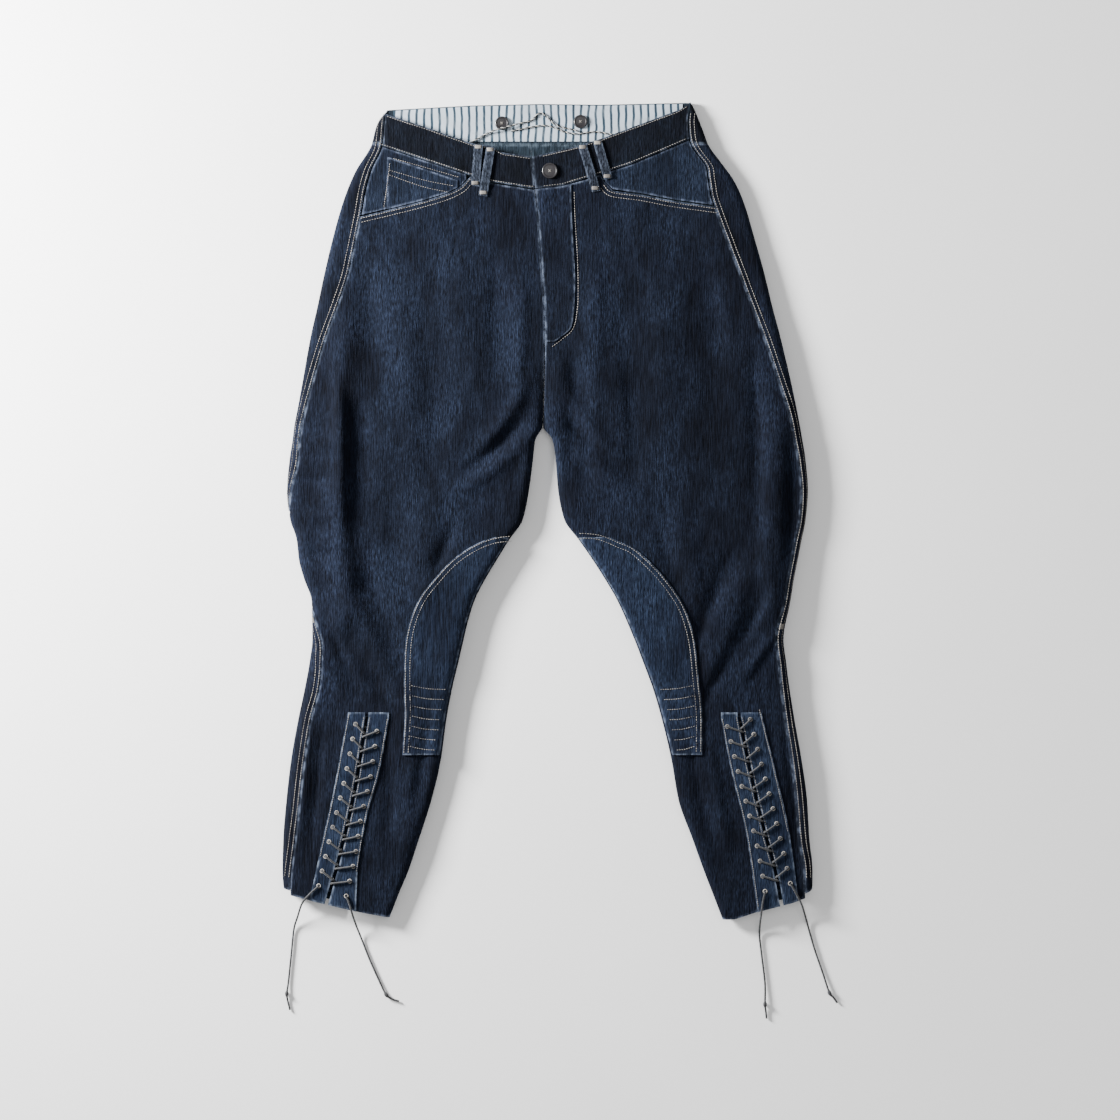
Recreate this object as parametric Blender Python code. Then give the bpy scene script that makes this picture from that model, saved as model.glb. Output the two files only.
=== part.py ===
"""Denim breeches laid flat with the front up: the cut pieces as closed cloth walls.

Metres, +Z up, +Y towards the waist, +X to the right of the front as it lies.
The underside lies on z = 0 and the origin is under the middle of the outline.
Tables give real sizes in millimetres.
"""
import math
from collections import namedtuple

import bmesh
import bpy
import numpy as np
from mathutils import Vector

MM = 0.001
CLOTH = 2.0
BAND_CLOTH = 3.0
THIN_CLOTH = 1.2
LINING_CLOTH = 0.9
SEAM_GAP = 0.3
LAY_GAP = 0.35
PATCH_LIFT = 1.2
FLAP_LIFT = 0.7
FLAP_GAP = 4.5
LACE_DIAMETER = 2.5
WAIST_CORD_DIAMETER = 2.2
EYELET_RADIUS = 2.2
EYELETS = 12
BUTTON_DIAMETER = 17.5
FRONT_BUTTON_DIAMETER = 20.0
LOOP_WIDTH = 11.0
BACK_HEM_RISE = 6.0
FACING_DROP = 0.7

# One row for each level of a leg, in mm. outer and inner are the outline and the
# centre line or inseam. seam is how far the side seam lies in from the outline, less
# than zero where it has gone underneath. close is 1 where the inner edge is closed.
Row = namedtuple("Row", "y outer inner seam height round_out round_in close")
LEFT_ROWS = [
    Row(525, -202, -8, -3, 8, 5, 3, 0),
    Row(509, -206, -8, -1, 9, 5, 3, 0),
    Row(491, -217, -10, 9, 11, 6, 3, 0),
    Row(463, -225, -21, 14, 12, 7, 3, 0),
    Row(432, -244, -18, 19, 12, 8, 3, 0),
    Row(407, -255, -16, 23, 12, 9, 3, 0),
    Row(373, -266, -12, 28, 13, 10, 3, 0),
    Row(305, -283, -7, 31, 14, 10, 3, 0),
    Row(267, -291, -4, 27, 15, 10, 3, 0),
    Row(217, -302, -3, 20, 16, 10, 3, 0),
    Row(166, -311, -4, 14, 17, 11, 4, 0.15),
    Row(128, -318, -5, 11, 17, 12, 6, 0.7),
    Row(107, -322, -6, 10, 17, 12, 8, 1),
    Row(90, -324, -15, 10, 18, 12, 10, 1),
    Row(64, -328, -18, 12, 18, 12, 11, 1),
    Row(26, -331, -23, 6, 18, 12, 12, 1),
    Row(-12, -327, -31, -2, 18, 12, 12, 1),
    Row(-37, -319, -48, -4, 18, 11, 12, 1),
    Row(-63, -316, -64, -4, 18, 11, 12, 1),
    Row(-88, -309, -79, -4, 18, 10, 12, 1),
    Row(-114, -300, -92, -2, 18, 10, 12, 1),
    Row(-139, -299, -100, 4, 18, 10, 12, 1),
    Row(-164, -299, -106, 12, 18, 10, 12, 1),
    Row(-190, -302, -112, 16, 18, 10, 12, 1),
    Row(-228, -309, -121, 19, 17, 11, 12, 1),
    Row(-266, -317, -128, 17, 17, 11, 12, 1),
    Row(-317, -326, -135, 18, 17, 11, 12, 1),
    Row(-368, -332, -147, 18, 16, 11, 12, 1),
    Row(-418, -336, -163, 16, 16, 11, 11, 1),
    Row(-457, -337, -176, 12, 15, 10, 10, 1),
    Row(-488, -335, -189, 9, 15, 9, 9, 1),
    Row(-530, -331, -205, 8, 14, 9, 9, 1),
]
RIGHT_ROWS = [
    Row(525, 180, -8, -2, 8, 5, 3, 0),
    Row(506, 189, -8, 9, 10, 5, 3, 0),
    Row(491, 195, -10, 16, 11, 6, 3, 0),
    Row(463, 206, -21, 22, 12, 7, 3, 0),
    Row(441, 222, -19, 22, 12, 8, 3, 0),
    Row(420, 237, -17, 32, 12, 8, 3, 0),
    Row(394, 249, -14, 39, 12, 9, 3, 0),
    Row(344, 264, -10, 36, 13, 10, 3, 0),
    Row(305, 275, -7, 32, 14, 10, 3, 0),
    Row(267, 284, -4, 27, 15, 10, 3, 0),
    Row(217, 297, -3, 21, 16, 10, 3, 0),
    Row(166, 309, -4, 16, 17, 11, 4, 0.15),
    Row(128, 317, -5, 12, 17, 12, 6, 0.7),
    Row(107, 321, -6, 11, 17, 12, 8, 1),
    Row(90, 324, 6, 11, 18, 12, 10, 1),
    Row(64, 328, 10, 10, 18, 12, 11, 1),
    Row(26, 331, 13, 9, 18, 12, 12, 1),
    Row(-12, 328, 21, 8, 18, 12, 12, 1),
    Row(-37, 323, 39, 8, 18, 12, 12, 1),
    Row(-63, 318, 57, 8, 18, 11, 12, 1),
    Row(-88, 313, 73, 8, 18, 11, 12, 1),
    Row(-114, 309, 88, 8, 18, 10, 12, 1),
    Row(-164, 300, 110, 10, 18, 10, 12, 1),
    Row(-190, 303, 120, 10, 18, 10, 12, 1),
    Row(-228, 308, 134, 11, 17, 11, 12, 1),
    Row(-266, 314, 145, 12, 17, 11, 12, 1),
    Row(-317, 323, 157, 13, 17, 11, 12, 1),
    Row(-368, 330, 166, 14, 16, 11, 12, 1),
    Row(-418, 333, 184, 13, 16, 11, 11, 1),
    Row(-457, 337, 198, 11, 15, 10, 10, 1),
    Row(-488, 337, 210, 10, 15, 9, 9, 1),
    Row(-530, 341, 226, 9, 14, 9, 9, 1),
]

# Large folds of the front, each a ridge (rise above 0) or trough along a line, in mm.
Fold = namedtuple("Fold", "x0 y0 x1 y1 width rise")
FOLDS = [
    Fold(-258, 215, -261, 100, 18, 5),
    Fold(-262, 20, -254, -110, 20, 7),
    Fold(-238, 120, -234, -90, 13, -4),
    Fold(-247, -172, -221, -214, 12, -5),
    Fold(-214, -218, -197, -236, 7, -3.5),
    Fold(-262, -150, -196, -222, 12, 4),
    Fold(-222, -98, -196, -164, 11, -4),
    Fold(-312, 64, -280, 52, 7, 1.5),
    Fold(-316, 22, -284, 8, 7, 1.5),
    Fold(-306, -30, -276, -42, 7, 1.5),
    Fold(-300, -72, -272, -84, 7, 1.5),
    Fold(290, 95, 282, -118, 17, 6),
    Fold(247, -98, 213, -188, 12, 4.5),
    Fold(228, -70, 198, -144, 11, -5),
    Fold(42, 170, 46, 50, 11, -4),
    Fold(116, 150, 112, 60, 13, -3),
    Fold(-4, 170, -5, 108, 9, -3),
]

# Plan curves, in mm: x then y.
FRONT_TOP = [(-206, 504), (-180, 495), (-149, 485), (-125, 476), (-92, 465), (-72, 463),
             (-60, 455), (-20, 449), (36, 462), (65, 471), (119, 491), (170, 510), (182, 519)]
BAND_SEAM = [(-212, 463), (-185, 454), (-131, 436), (-74, 417), (-17, 408), (18, 412),
             (74, 429), (107, 440), (143, 455), (180, 471)]
BACK_TOP = [(-206, 510), (-98, 516), (-10, 518), (67, 517), (182, 519.5)]
LEFT_PANEL_TOP = [(-238, 373), (-192, 384), (-157, 393), (-128, 402), (-110, 411),
                  (-102, 420), (-98, 424), (-74, 416), (-17, 407)]
RIGHT_PANEL_TOP = [(-17, 408), (18, 412), (49, 420), (68, 427), (73, 415), (83, 406),
                   (119, 401), (161, 393), (218, 385)]
LEFT_HEM = [(-340, -485), (-289, -498), (-238, -510), (-190, -519)]
RIGHT_HEM = [(220, -520), (238, -519), (265, -510), (311, -498), (333, -490), (342, -482)]
BACK_SEAM_Y = 466
LEVELS = [300, 250, 205, 165, 128, 107, 90, 64, 26, -12, -37, -63, -88, -114, -139, -164, -190,
          -228, -262, -300, -340, -380, -420]
LINING_FOOT_Y = 470

# The calf slot under the lacing: the cut edges of the front panel at each level.
Slot = namedtuple("Slot", "y outer inner")
LEFT_SLOT = [Slot(470, -170, -98), Slot(400, -185, -98), Slot(107, -235, -110), Slot(-262, -250, -204),
             Slot(-340, -265, -217), Slot(-388, -276, -232), Slot(-460, -291, -243),
             Slot(-535, -307, -245)]
RIGHT_SLOT = [Slot(470, 160, 72), Slot(400, 175, 72), Slot(107, 235, 110), Slot(-262, 268, 223),
              Slot(-326, 285, 235), Slot(-410, 304, 255), Slot(-505, 316, 269),
              Slot(-535, 320, 271)]
SLOT_TOP_Y = -262

# A lacing side: where the flaps meet, their outer edges, and both rows of eyelets.
LEFT_LACING = {
    "meet": [(-229, -262), (-245, -358), (-262, -432), (-282, -505)],
    "outer edge": [(-253, -258), (-271, -354), (-290, -440), (-303, -500)],
    "inner edge": [(-201, -264), (-213, -330), (-229, -388), (-241, -460), (-243, -515)],
    "outer eyelets": [(-243, -271), (-257, -342), (-276, -417), (-290, -476)],
    "inner eyelets": [(-216, -280), (-224, -337), (-237, -394), (-243, -434), (-255, -489)],
}
RIGHT_LACING = {
    "meet": [(243, -262), (258, -335), (275, -406), (288, -453), (298, -505)],
    "outer edge": [(270, -252), (288, -326), (307, -410), (319, -500)],
    "inner edge": [(220, -264), (232, -326), (252, -410), (266, -505), (268, -515)],
    "outer eyelets": [(257, -265), (272, -324), (286, -378), (300, -436), (308, -473)],
    "inner eyelets": [(228, -274), (242, -332), (257, -389), (268, -435), (276, -483)],
}

# Knee patches: outer edge from the top down, in mm.
LEFT_PATCH = [(-49, -30), (-77, -37), (-100, -48), (-123, -65), (-144, -88), (-161, -110),
              (-173, -137), (-180, -170), (-182, -225), (-181, -258), (-184, -310)]
RIGHT_PATCH = [(41, -27), (67, -30), (92, -40), (111, -49), (140, -76), (163, -105),
               (177, -131), (187, -170), (192, -215), (196, -258), (196, -310)]
PATCH_ROWS = 7
PATCH_ROW_PITCH = 12.8
PATCH_ROW_TOP = -226
PATCH_RIB = 0.7
FLY_EDGE = [(30, 408), (31, 373), (35, 290), (34, 256), (30, 232), (16, 219), (2, 209)]

# Free lace ends as they lie: x, y and height of the middle above the surface.
LEFT_OUTER_END = [(-290, -476, 18.9), (-300, -485, 18.9), (-311, -498, 15.0),
                  (-318, -517, 6.5), (-323, -533, 1.9), (-326, -561, 1.5),
                  (-330, -600, 1.6), (-332, -615, 2.8), (-331, -624, 1.6), (-328, -636, 1.5)]
LEFT_INNER_END = [(-255, -489, 18.9), (-251, -499, 18.9), (-247.5, -512, 17.5),
                  (-243, -528, 8.5), (-237, -545, 2.1), (-226, -573, 1.5),
                  (-212, -604, 1.6), (-205, -617, 2.8), (-198, -622, 1.6), (-189, -625, 1.5)]
RIGHT_INNER_END = [(276, -483, 18.9), (273, -496, 18.9), (271, -512, 17.5),
                   (270, -527, 8.0), (270, -542, 2.1), (273, -568, 1.5), (277, -602, 1.6),
                   (277, -629, 2.8), (278, -637, 1.6), (279, -647, 1.5)]
RIGHT_OUTER_END = [(308, -473, 18.9), (315, -485, 18.9), (322, -499, 16.0),
                   (327, -513, 7.5), (332, -530, 2.0), (340, -558, 1.5), (351, -590, 1.6),
                   (359, -614, 2.8), (364, -620, 1.6), (369, -627, 1.5)]
UPPER_WAIST_CORD = [(-108, 462, 4.8), (-93, 471, 4.8), (-76, 480, 5.4), (-64, 484.5, 8.4),
                    (-50, 488, 8.0), (-34, 493, 5.2), (-20, 497, 4.8), (-8, 506, 4.8),
                    (10, 491, 4.8), (26, 486, 4.8), (40, 482.5, 4.8)]
LOWER_WAIST_CORD = [(-46, 483, 4.8), (-21, 488, 4.8), (-3, 490, 4.8), (10, 487, 4.8),
                    (22, 481.5, 4.8), (38, 479.5, 4.8), (60, 482, 4.8), (84, 478, 4.8)]


def clear_scene():
    for thing in list(bpy.data.objects):
        bpy.data.objects.remove(thing, do_unlink=True)


def material(name, rgb, roughness=0.85, metallic=0.0):
    made = bpy.data.materials.new(name)
    made.use_nodes = True
    shader = made.node_tree.nodes["Principled BSDF"]
    shader.inputs["Base Color"].default_value = (*rgb, 1.0)
    shader.inputs["Roughness"].default_value = roughness
    shader.inputs["Metallic"].default_value = metallic
    return made


def steady(ys, values, y):
    """A smooth curve through the rows of a table that never overshoots them."""
    ys = np.asarray(ys, float)
    values = np.asarray(values, float)
    step = np.diff(ys)
    rise = np.diff(values) / step
    slope = np.zeros_like(values)
    same = rise[1:] * rise[:-1] > 0
    total = np.where(same, rise[1:] + rise[:-1], 1.0)
    slope[1:-1] = np.where(same, 2 * rise[1:] * rise[:-1] / total, 0.0)
    slope[0] = rise[0]
    slope[-1] = rise[-1]
    y = np.clip(y, ys[0], ys[-1])
    k = np.clip(np.searchsorted(ys, y) - 1, 0, len(step) - 1)
    t = (y - ys[k]) / step[k]
    return (values[k] * (2 * t ** 3 - 3 * t ** 2 + 1) + values[k + 1] * (3 * t ** 2 - 2 * t ** 3)
            + step[k] * (slope[k] * (t ** 3 - 2 * t ** 2 + t) + slope[k + 1] * (t ** 3 - t ** 2)))


def across(points, x):
    """y of a plan curve at x."""
    points = sorted(points)
    return np.interp(x, [p[0] for p in points], [p[1] for p in points])


def down(points, y):
    """x of a plan curve at y, for a curve that runs down the leg."""
    points = sorted(points, key=lambda p: p[1])
    return steady([p[1] for p in points], [p[0] for p in points], y)


def along(points, count):
    """count points evenly spaced along a smooth plan curve that runs down the leg."""
    y = np.linspace(points[0][1], points[-1][1], 200)
    x = down(points, y)
    run = np.concatenate([[0], np.cumsum(np.hypot(np.diff(x), np.diff(y)))])
    at = np.linspace(0, run[-1], count)
    return np.interp(at, run, x), np.interp(at, run, y)


def fold_height(x, y):
    total = np.zeros(np.broadcast(x, y).shape)
    for fold in FOLDS:
        run = np.array([fold.x1 - fold.x0, fold.y1 - fold.y0], float)
        length = np.hypot(*run)
        run /= length
        t = (x - fold.x0) * run[0] + (y - fold.y0) * run[1]
        side = (x - fold.x0) * run[1] - (y - fold.y0) * run[0]
        past = np.maximum(0, np.maximum(-t, t - length))
        total += fold.rise * np.exp(-(side / fold.width) ** 2 - (past / (2 * fold.width)) ** 2)
    return total


class Leg:
    """One half of the garment. out is -1 for the left half and 1 for the right."""

    def __init__(self, out, rows, slot):
        self.out = out
        self.rows = sorted(rows)
        self.slot = sorted(slot)

    def at(self, column, y):
        return steady([row.y for row in self.rows], [getattr(row, column) for row in self.rows], y)

    def slot_at(self, column, y):
        return steady([row.y for row in self.slot], [getattr(row, column) for row in self.slot], y)

    def spans(self, y):
        """Cloth lengths of the outer edge's arc, the flat and the inner edge's arc."""
        half = self.at("height", y) / 2
        round_out = self.at("round_out", y)
        round_in = self.at("round_in", y)
        inner = self.at("inner", y) + self.out * SEAM_GAP / 2
        flat = np.abs(self.at("outer", y) - inner) - round_out - round_in
        arc_out = math.pi / 2 * np.sqrt((round_out ** 2 + half ** 2) / 2)
        arc_in = math.pi / 2 * np.sqrt((round_in ** 2 + half ** 2) / 2)
        return arc_out, flat, arc_in

    def skin(self, wrap, y):
        """Outside of the cloth. wrap runs round the leg from the outline, above 0 on top."""
        wrap, y = np.broadcast_arrays(np.asarray(wrap, float), np.asarray(y, float))
        half = self.at("height", y) / 2
        close = self.at("close", y)
        arc_out, flat, arc_in = self.spans(y)
        run = np.abs(wrap)
        turn_out = np.clip(run / arc_out, 0, 1) * math.pi / 2
        turn_in = np.clip((run - arc_out - flat) / arc_in, 0, 1) * math.pi / 2
        inset = (self.at("round_out", y) * (1 - np.cos(turn_out)) + np.clip(run - arc_out, 0, flat)
                 + self.at("round_in", y) * np.sin(turn_in))
        x = self.at("outer", y) - self.out * inset
        shut = close * (1 - np.cos(turn_in))
        top = half + (half + fold_height(x, y) * (1 - shut)) * np.sin(turn_out)
        top -= (half - SEAM_GAP / 2) * shut
        low = half * (1 - np.sin(turn_out)) + (half - SEAM_GAP / 2) * shut
        return np.stack([x, y, np.where(wrap >= 0, top, low)], axis=-1)

    def normal(self, wrap, y):
        step = 0.5
        dw = self.skin(wrap + step, y) - self.skin(wrap - step, y)
        dy = self.skin(wrap, y + step) - self.skin(wrap, y - step)
        face = np.cross(dw, dy) * -self.out
        return face / np.linalg.norm(face, axis=-1, keepdims=True)

    def wrap_at(self, x, y):
        """Where a plan point lies round the top of the leg."""
        arc_out, flat, arc_in = self.spans(y)
        round_out = self.at("round_out", y)
        inset = (self.at("outer", y) - x) * self.out
        turn_out = np.arccos(np.clip(1 - np.abs(inset) / round_out, -1, 1))
        on_arc = np.sign(inset) * arc_out * np.minimum(turn_out / (math.pi / 2), 1)
        beyond = np.clip((inset - round_out - flat) / self.at("round_in", y), 0, 1)
        on_top = arc_out + np.clip(inset - round_out, 0, flat) + arc_in * np.arcsin(beyond) * 2 / math.pi
        return np.where(inset < round_out, on_arc, on_top)

    def seam_wrap(self, y):
        return self.wrap_at(self.at("outer", y) - self.out * self.at("seam", y), y)

    def full_wrap(self, y):
        return sum(self.spans(y))

    def plan(self, x, y):
        """Points and normals of the front above plan points."""
        wrap = self.wrap_at(x, y)
        return self.skin(wrap, y), self.normal(wrap, y)


def link(obj, finish):
    obj.data.materials.append(finish)
    bpy.context.scene.collection.objects.link(obj)
    return obj


def shell(name, points, normals, lift, cloth, finish, cells=None):
    """A cloth wall over a grid of points: its outside is lift above them."""
    rows, columns = points.shape[:2]
    if cells is None:
        cells = np.ones((rows - 1, columns - 1), bool)
    lift = np.broadcast_to(np.asarray(lift, float), (rows, columns))[..., None]
    outside = (points + normals * lift) * MM
    inside = (points + normals * (lift - cloth)) * MM
    used = np.zeros((rows, columns), bool)
    for i, j in zip(*np.nonzero(cells)):
        used[i:i + 2, j:j + 2] = True
    mesh = bmesh.new()
    upper = {key: mesh.verts.new(outside[key]) for key in zip(*np.nonzero(used))}
    lower = {key: mesh.verts.new(inside[key]) for key in zip(*np.nonzero(used))}
    for i, j in zip(*np.nonzero(cells)):
        ring = [(i, j), (i, j + 1), (i + 1, j + 1), (i + 1, j)]
        mesh.faces.new([upper[key] for key in ring])
        mesh.faces.new([lower[key] for key in reversed(ring)])
        beside = [(i - 1, j), (i, j + 1), (i + 1, j), (i, j - 1)]
        for k, (a, b) in enumerate(zip(ring, ring[1:] + ring[:1])):
            r, c = beside[k]
            if not (0 <= r < rows - 1 and 0 <= c < columns - 1 and cells[r, c]):
                mesh.faces.new([upper[b], upper[a], lower[a], lower[b]])
    if mesh.calc_volume(signed=True) < 0:
        bmesh.ops.reverse_faces(mesh, faces=mesh.faces)
    data = bpy.data.meshes.new(name)
    mesh.to_mesh(data)
    mesh.free()
    return link(bpy.data.objects.new(name, data), finish)


def level_rows(leg, top, hem, columns, wraps):
    """Rows of a leg panel from its top edge, through level rows, to its hem."""
    rows = []
    for share in (0, 0.4, 0.75):
        rows.append(lambda x, s=share: top(x) * (1 - s) + LEVELS[0] * s)
    rows += [lambda x, y=level: np.full_like(x, y) for level in LEVELS]
    for share in (0.5, 1):
        rows.append(lambda x, s=share: hem(x) * s + LEVELS[-1] * (1 - s))
    points, normals = [], []
    for row in rows:
        y = row(np.linspace(leg.at("outer", 300), leg.at("inner", 300), columns))
        for _ in range(12):
            y = 0.5 * y + 0.5 * row(leg.skin(wraps(y), y)[..., 0])
        y = row(leg.skin(wraps(y), y)[..., 0])
        wrap = wraps(y)
        points.append(leg.skin(wrap, y))
        normals.append(leg.normal(wrap, y))
    return np.array(points), np.array(normals), 3 + LEVELS.index(SLOT_TOP_Y)


def front_panel(name, leg, top_points, hem_points, finish):
    outer_shares = np.array([0, 0.1, 0.24, 0.45, 0.7])
    slot_shares = np.array([0, 0.33, 0.67, 0.87])
    inner_shares = np.array([0, 0.35, 0.68])
    arc_shares = np.array([0, 0.25, 0.5, 0.75, 1.0])

    def wraps(y):
        start = leg.seam_wrap(y) + SEAM_GAP / 2
        outer = leg.wrap_at(leg.slot_at("outer", y), y)
        inner = leg.wrap_at(leg.slot_at("inner", y), y)
        end = leg.full_wrap(y)
        bend = end - leg.spans(y)[2]
        zones = ((start, outer, outer_shares), (outer, inner, slot_shares),
                 (inner, bend, inner_shares), (bend, end, arc_shares))
        stations = [near + (far - near) * share for near, far, shares in zones for share in shares]
        return np.diagonal(np.array(stations))

    columns = len(outer_shares) + len(slot_shares) + len(inner_shares) + len(arc_shares)
    points, normals, slot_row = level_rows(leg, lambda x: across(top_points, x),
                                           lambda x: across(hem_points, x), columns, wraps)
    cells = np.ones((len(points) - 1, columns - 1), bool)
    first = len(outer_shares)
    cells[slot_row:, first:first + len(slot_shares)] = False
    return shell(name, points, normals, 0.0, CLOTH, finish, cells)


def back_wraps(leg, y, near=8, flat=3, far=4):
    """Stations of a back panel, from the side seam round the outline to the inner edge."""
    start = leg.seam_wrap(y) - SEAM_GAP
    arc_out, level, arc_in = leg.spans(y)
    stations = [start + (-arc_out - start) * share for share in np.linspace(0, 1, near)]
    stations += [-arc_out - level * share for share in np.linspace(0, 1, flat + 1)[1:]]
    stations += [-arc_out - level - arc_in * share for share in np.linspace(0, 1, far)[1:]]
    return np.array(stations)


def back_panel(name, leg, hem_points, finish):
    levels = [BACK_SEAM_Y - SEAM_GAP, 441, 407, 373, 340] + LEVELS
    points, normals = [], []
    for level in levels:
        wrap = back_wraps(leg, level)
        points.append(leg.skin(wrap, level))
        normals.append(leg.normal(wrap, level))
    columns = len(points[0])
    for share in (0.5, 1):
        y = np.full(columns, -450.0)
        for _ in range(12):
            wrap = np.diagonal(back_wraps(leg, y)) if len(y) == columns else None
            hem = across(hem_points, leg.skin(wrap, y)[..., 0]) + BACK_HEM_RISE
            y = hem * share + levels[-1] * (1 - share)
        wrap = np.diagonal(back_wraps(leg, y))
        points.append(leg.skin(wrap, y))
        normals.append(leg.normal(wrap, y))
    return shell(name, np.array(points), np.array(normals), 0.0, CLOTH, finish)


def back_band(left, right, finish):
    """Back waistband: from one side seam round under the back to the other."""
    points, normals = [], []
    for share in (0, 0.25, 0.5, 0.75, 1):
        row_points, row_normals = [], []
        for leg in (left, right):
            x = leg.at("outer", 500)
            level = BACK_SEAM_Y + (across(BACK_TOP, x) - BACK_SEAM_Y) * share
            wrap = back_wraps(leg, level, far=2)
            ordered = slice(None) if leg is left else slice(None, None, -1)
            spot = leg.skin(wrap, level)[ordered]
            facing = leg.normal(wrap, level)[ordered]
            rise = across(BACK_TOP, spot[:, 0]) - across(BACK_TOP, x)
            spot[:, 1] += rise * share
            keep = slice(None) if leg is left else slice(1, None)
            row_points.append(spot[keep])
            row_normals.append(facing[keep])
        points.append(np.concatenate(row_points))
        normals.append(np.concatenate(row_normals))
    return shell("waistband_back", np.array(points), np.array(normals), 0.0, CLOTH, finish)


def plan_grid(left_x, right_x, low, high, columns, rows, y_left, y_right):
    """A grid between two plan curves: x runs from left_x(y) to right_x(y)."""
    x = np.zeros((rows, columns))
    y = np.zeros((rows, columns))
    for i, v in enumerate(np.linspace(0, 1, rows)):
        start = left_x(y_left[0] + (y_left[1] - y_left[0]) * v)
        end = right_x(y_right[0] + (y_right[1] - y_right[0]) * v)
        x[i] = np.linspace(start, end, columns)
        y[i] = low(x[i]) * (1 - v) + high(x[i]) * v
    return x, y


def overlay(name, leg, x, y, lift, cloth, finish):
    points, normals = leg.plan(x, y)
    return shell(name, points, normals, lift, cloth, finish)


def front_band(name, leg, finish):
    """Half of the front waistband, from the side seam to the centre front."""
    seam_x = lambda y: leg.at("outer", y) - leg.out * (leg.at("seam", y) + 1.2)
    centre_x = lambda y: leg.at("inner", y) + leg.out * SEAM_GAP / 2
    low = lambda x: across(BAND_SEAM, x) + 3 * SEAM_GAP
    high = lambda x: across(FRONT_TOP, x)
    if leg.out < 0:
        x, y = plan_grid(seam_x, centre_x, low, high, 12, 4, (463, 503), (408, 449))
    else:
        x, y = plan_grid(centre_x, seam_x, low, high, 12, 4, (408, 449), (471, 515))
    return overlay(name, leg, x, y, BAND_CLOTH - CLOTH, BAND_CLOTH, finish)


def pocket_facing(name, leg, mouth, finish):
    """The facing that shows between the waistband and the scooped pocket mouth."""
    seam_x = lambda y: leg.at("outer", y) - leg.out * (leg.at("seam", y) + 1.6)
    low = lambda x: across(mouth, x) + 2.2
    high = lambda x: across(BAND_SEAM, x) - SEAM_GAP
    if leg.out < 0:
        x, y = plan_grid(seam_x, lambda y: -103.5, low, high, 10, 5, (375, 461), (421, 425))
    else:
        x, y = plan_grid(lambda y: 73.5, seam_x, low, high, 10, 5, (418, 427), (387, 470))
    return overlay(name, leg, x, y, -FACING_DROP, CLOTH - FACING_DROP, finish)


def patch(name, leg, edge, finish):
    """Crescent knee patch with raised rows across its lower part."""
    foot = edge[-1][1]
    ribs = [PATCH_ROW_TOP - PATCH_ROW_PITCH * k for k in range(PATCH_ROWS)]
    levels = [(y, 0) for y in (-34, -44, -58, -76, -98, -122, -148, -175, -200)]
    for rib in ribs:
        levels += [(rib, 0), (rib - PATCH_ROW_PITCH / 2, PATCH_RIB)]
    levels += [(foot, 0)]
    shares = np.array([0, 0.1, 0.5, 0.9, 1])
    points, normals, lift = [], [], []
    for y, rib in levels:
        start = leg.wrap_at(down(edge, y), y)
        arc = leg.spans(y)[2]
        bend = leg.full_wrap(y) - arc
        wrap = np.concatenate([start + (bend - start) * shares, [bend + arc * 0.25, bend + arc * 0.5]])
        points.append(leg.skin(wrap, y))
        normals.append(leg.normal(wrap, y))
        lift.append(PATCH_LIFT + THIN_CLOTH + rib * np.array([0, 1, 1, 1, 0, 0, 0]))
    return shell(name, np.array(points), np.array(normals), np.array(lift), THIN_CLOTH, finish)


def flap(name, leg, lacing, side, hem, finish):
    """Lacing flap between its sewn edge and the line where the two flaps meet."""
    edge = lacing[side + " edge"]
    other = lacing["meet"]
    toward = leg.out if side == "outer" else -leg.out
    top = -256
    shares = np.linspace(0, 1, 4)
    levels = [top, -262, -290, -320, -350, -380, -410, -440, -470]
    x = np.zeros((len(levels) + 1, len(shares)))
    y = np.zeros_like(x)
    for i, level in enumerate(levels):
        x[i] = down(edge, level) * (1 - shares) + (down(other, level) + toward * FLAP_GAP / 2) * shares
        y[i] = level
    y[-1] = -500
    for _ in range(8):
        x[-1] = (np.diagonal(np.array([down(edge, y[-1])] * 4)) * (1 - shares)
                 + (down(other, y[-1]) + toward * FLAP_GAP / 2) * shares)
        y[-1] = across(hem, x[-1])
    made = overlay(name, leg, x, y, FLAP_LIFT + THIN_CLOTH, THIN_CLOTH, finish)
    bore = made.modifiers.new("eyelets", "BOOLEAN")
    bore.object = eyelet_cutter(name + "_eyelets", leg, lacing[side + " eyelets"])
    return made


def eyelet_cutter(name, leg, row):
    mesh = bmesh.new()
    for x, y in zip(*along(row, EYELETS)):
        spot = leg.plan(x, y)[0]
        made = bmesh.ops.create_cone(mesh, cap_ends=True, segments=6, radius1=EYELET_RADIUS * MM,
                                     radius2=EYELET_RADIUS * MM, depth=8 * MM)
        bmesh.ops.translate(mesh, verts=made["verts"], vec=Vector(spot * MM))
    data = bpy.data.meshes.new(name)
    mesh.to_mesh(data)
    mesh.free()
    cutter = bpy.data.objects.new(name, data)
    cutter.hide_render = True
    cutter.display_type = "WIRE"
    bpy.context.scene.collection.objects.link(cutter)
    return cutter


def tongue(name, leg, finish):
    """Plain strip behind the slot, sewn under the panel beyond both cut edges."""
    levels = np.array([-258, -290, -330, -370, -410, -450, -484])
    reach = 7.0
    x = np.array([np.linspace(leg.slot_at("outer", v) + leg.out * reach,
                              leg.slot_at("inner", v) - leg.out * reach, 4) for v in levels])
    y = np.repeat(levels[:, None], 4, axis=1).astype(float)
    drop = np.array([CLOTH + LAY_GAP, CLOTH + 1.4, CLOTH + 1.4, CLOTH + LAY_GAP])
    return overlay(name, leg, x, y, -drop[None, :] + np.zeros_like(x), THIN_CLOTH, finish)


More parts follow.
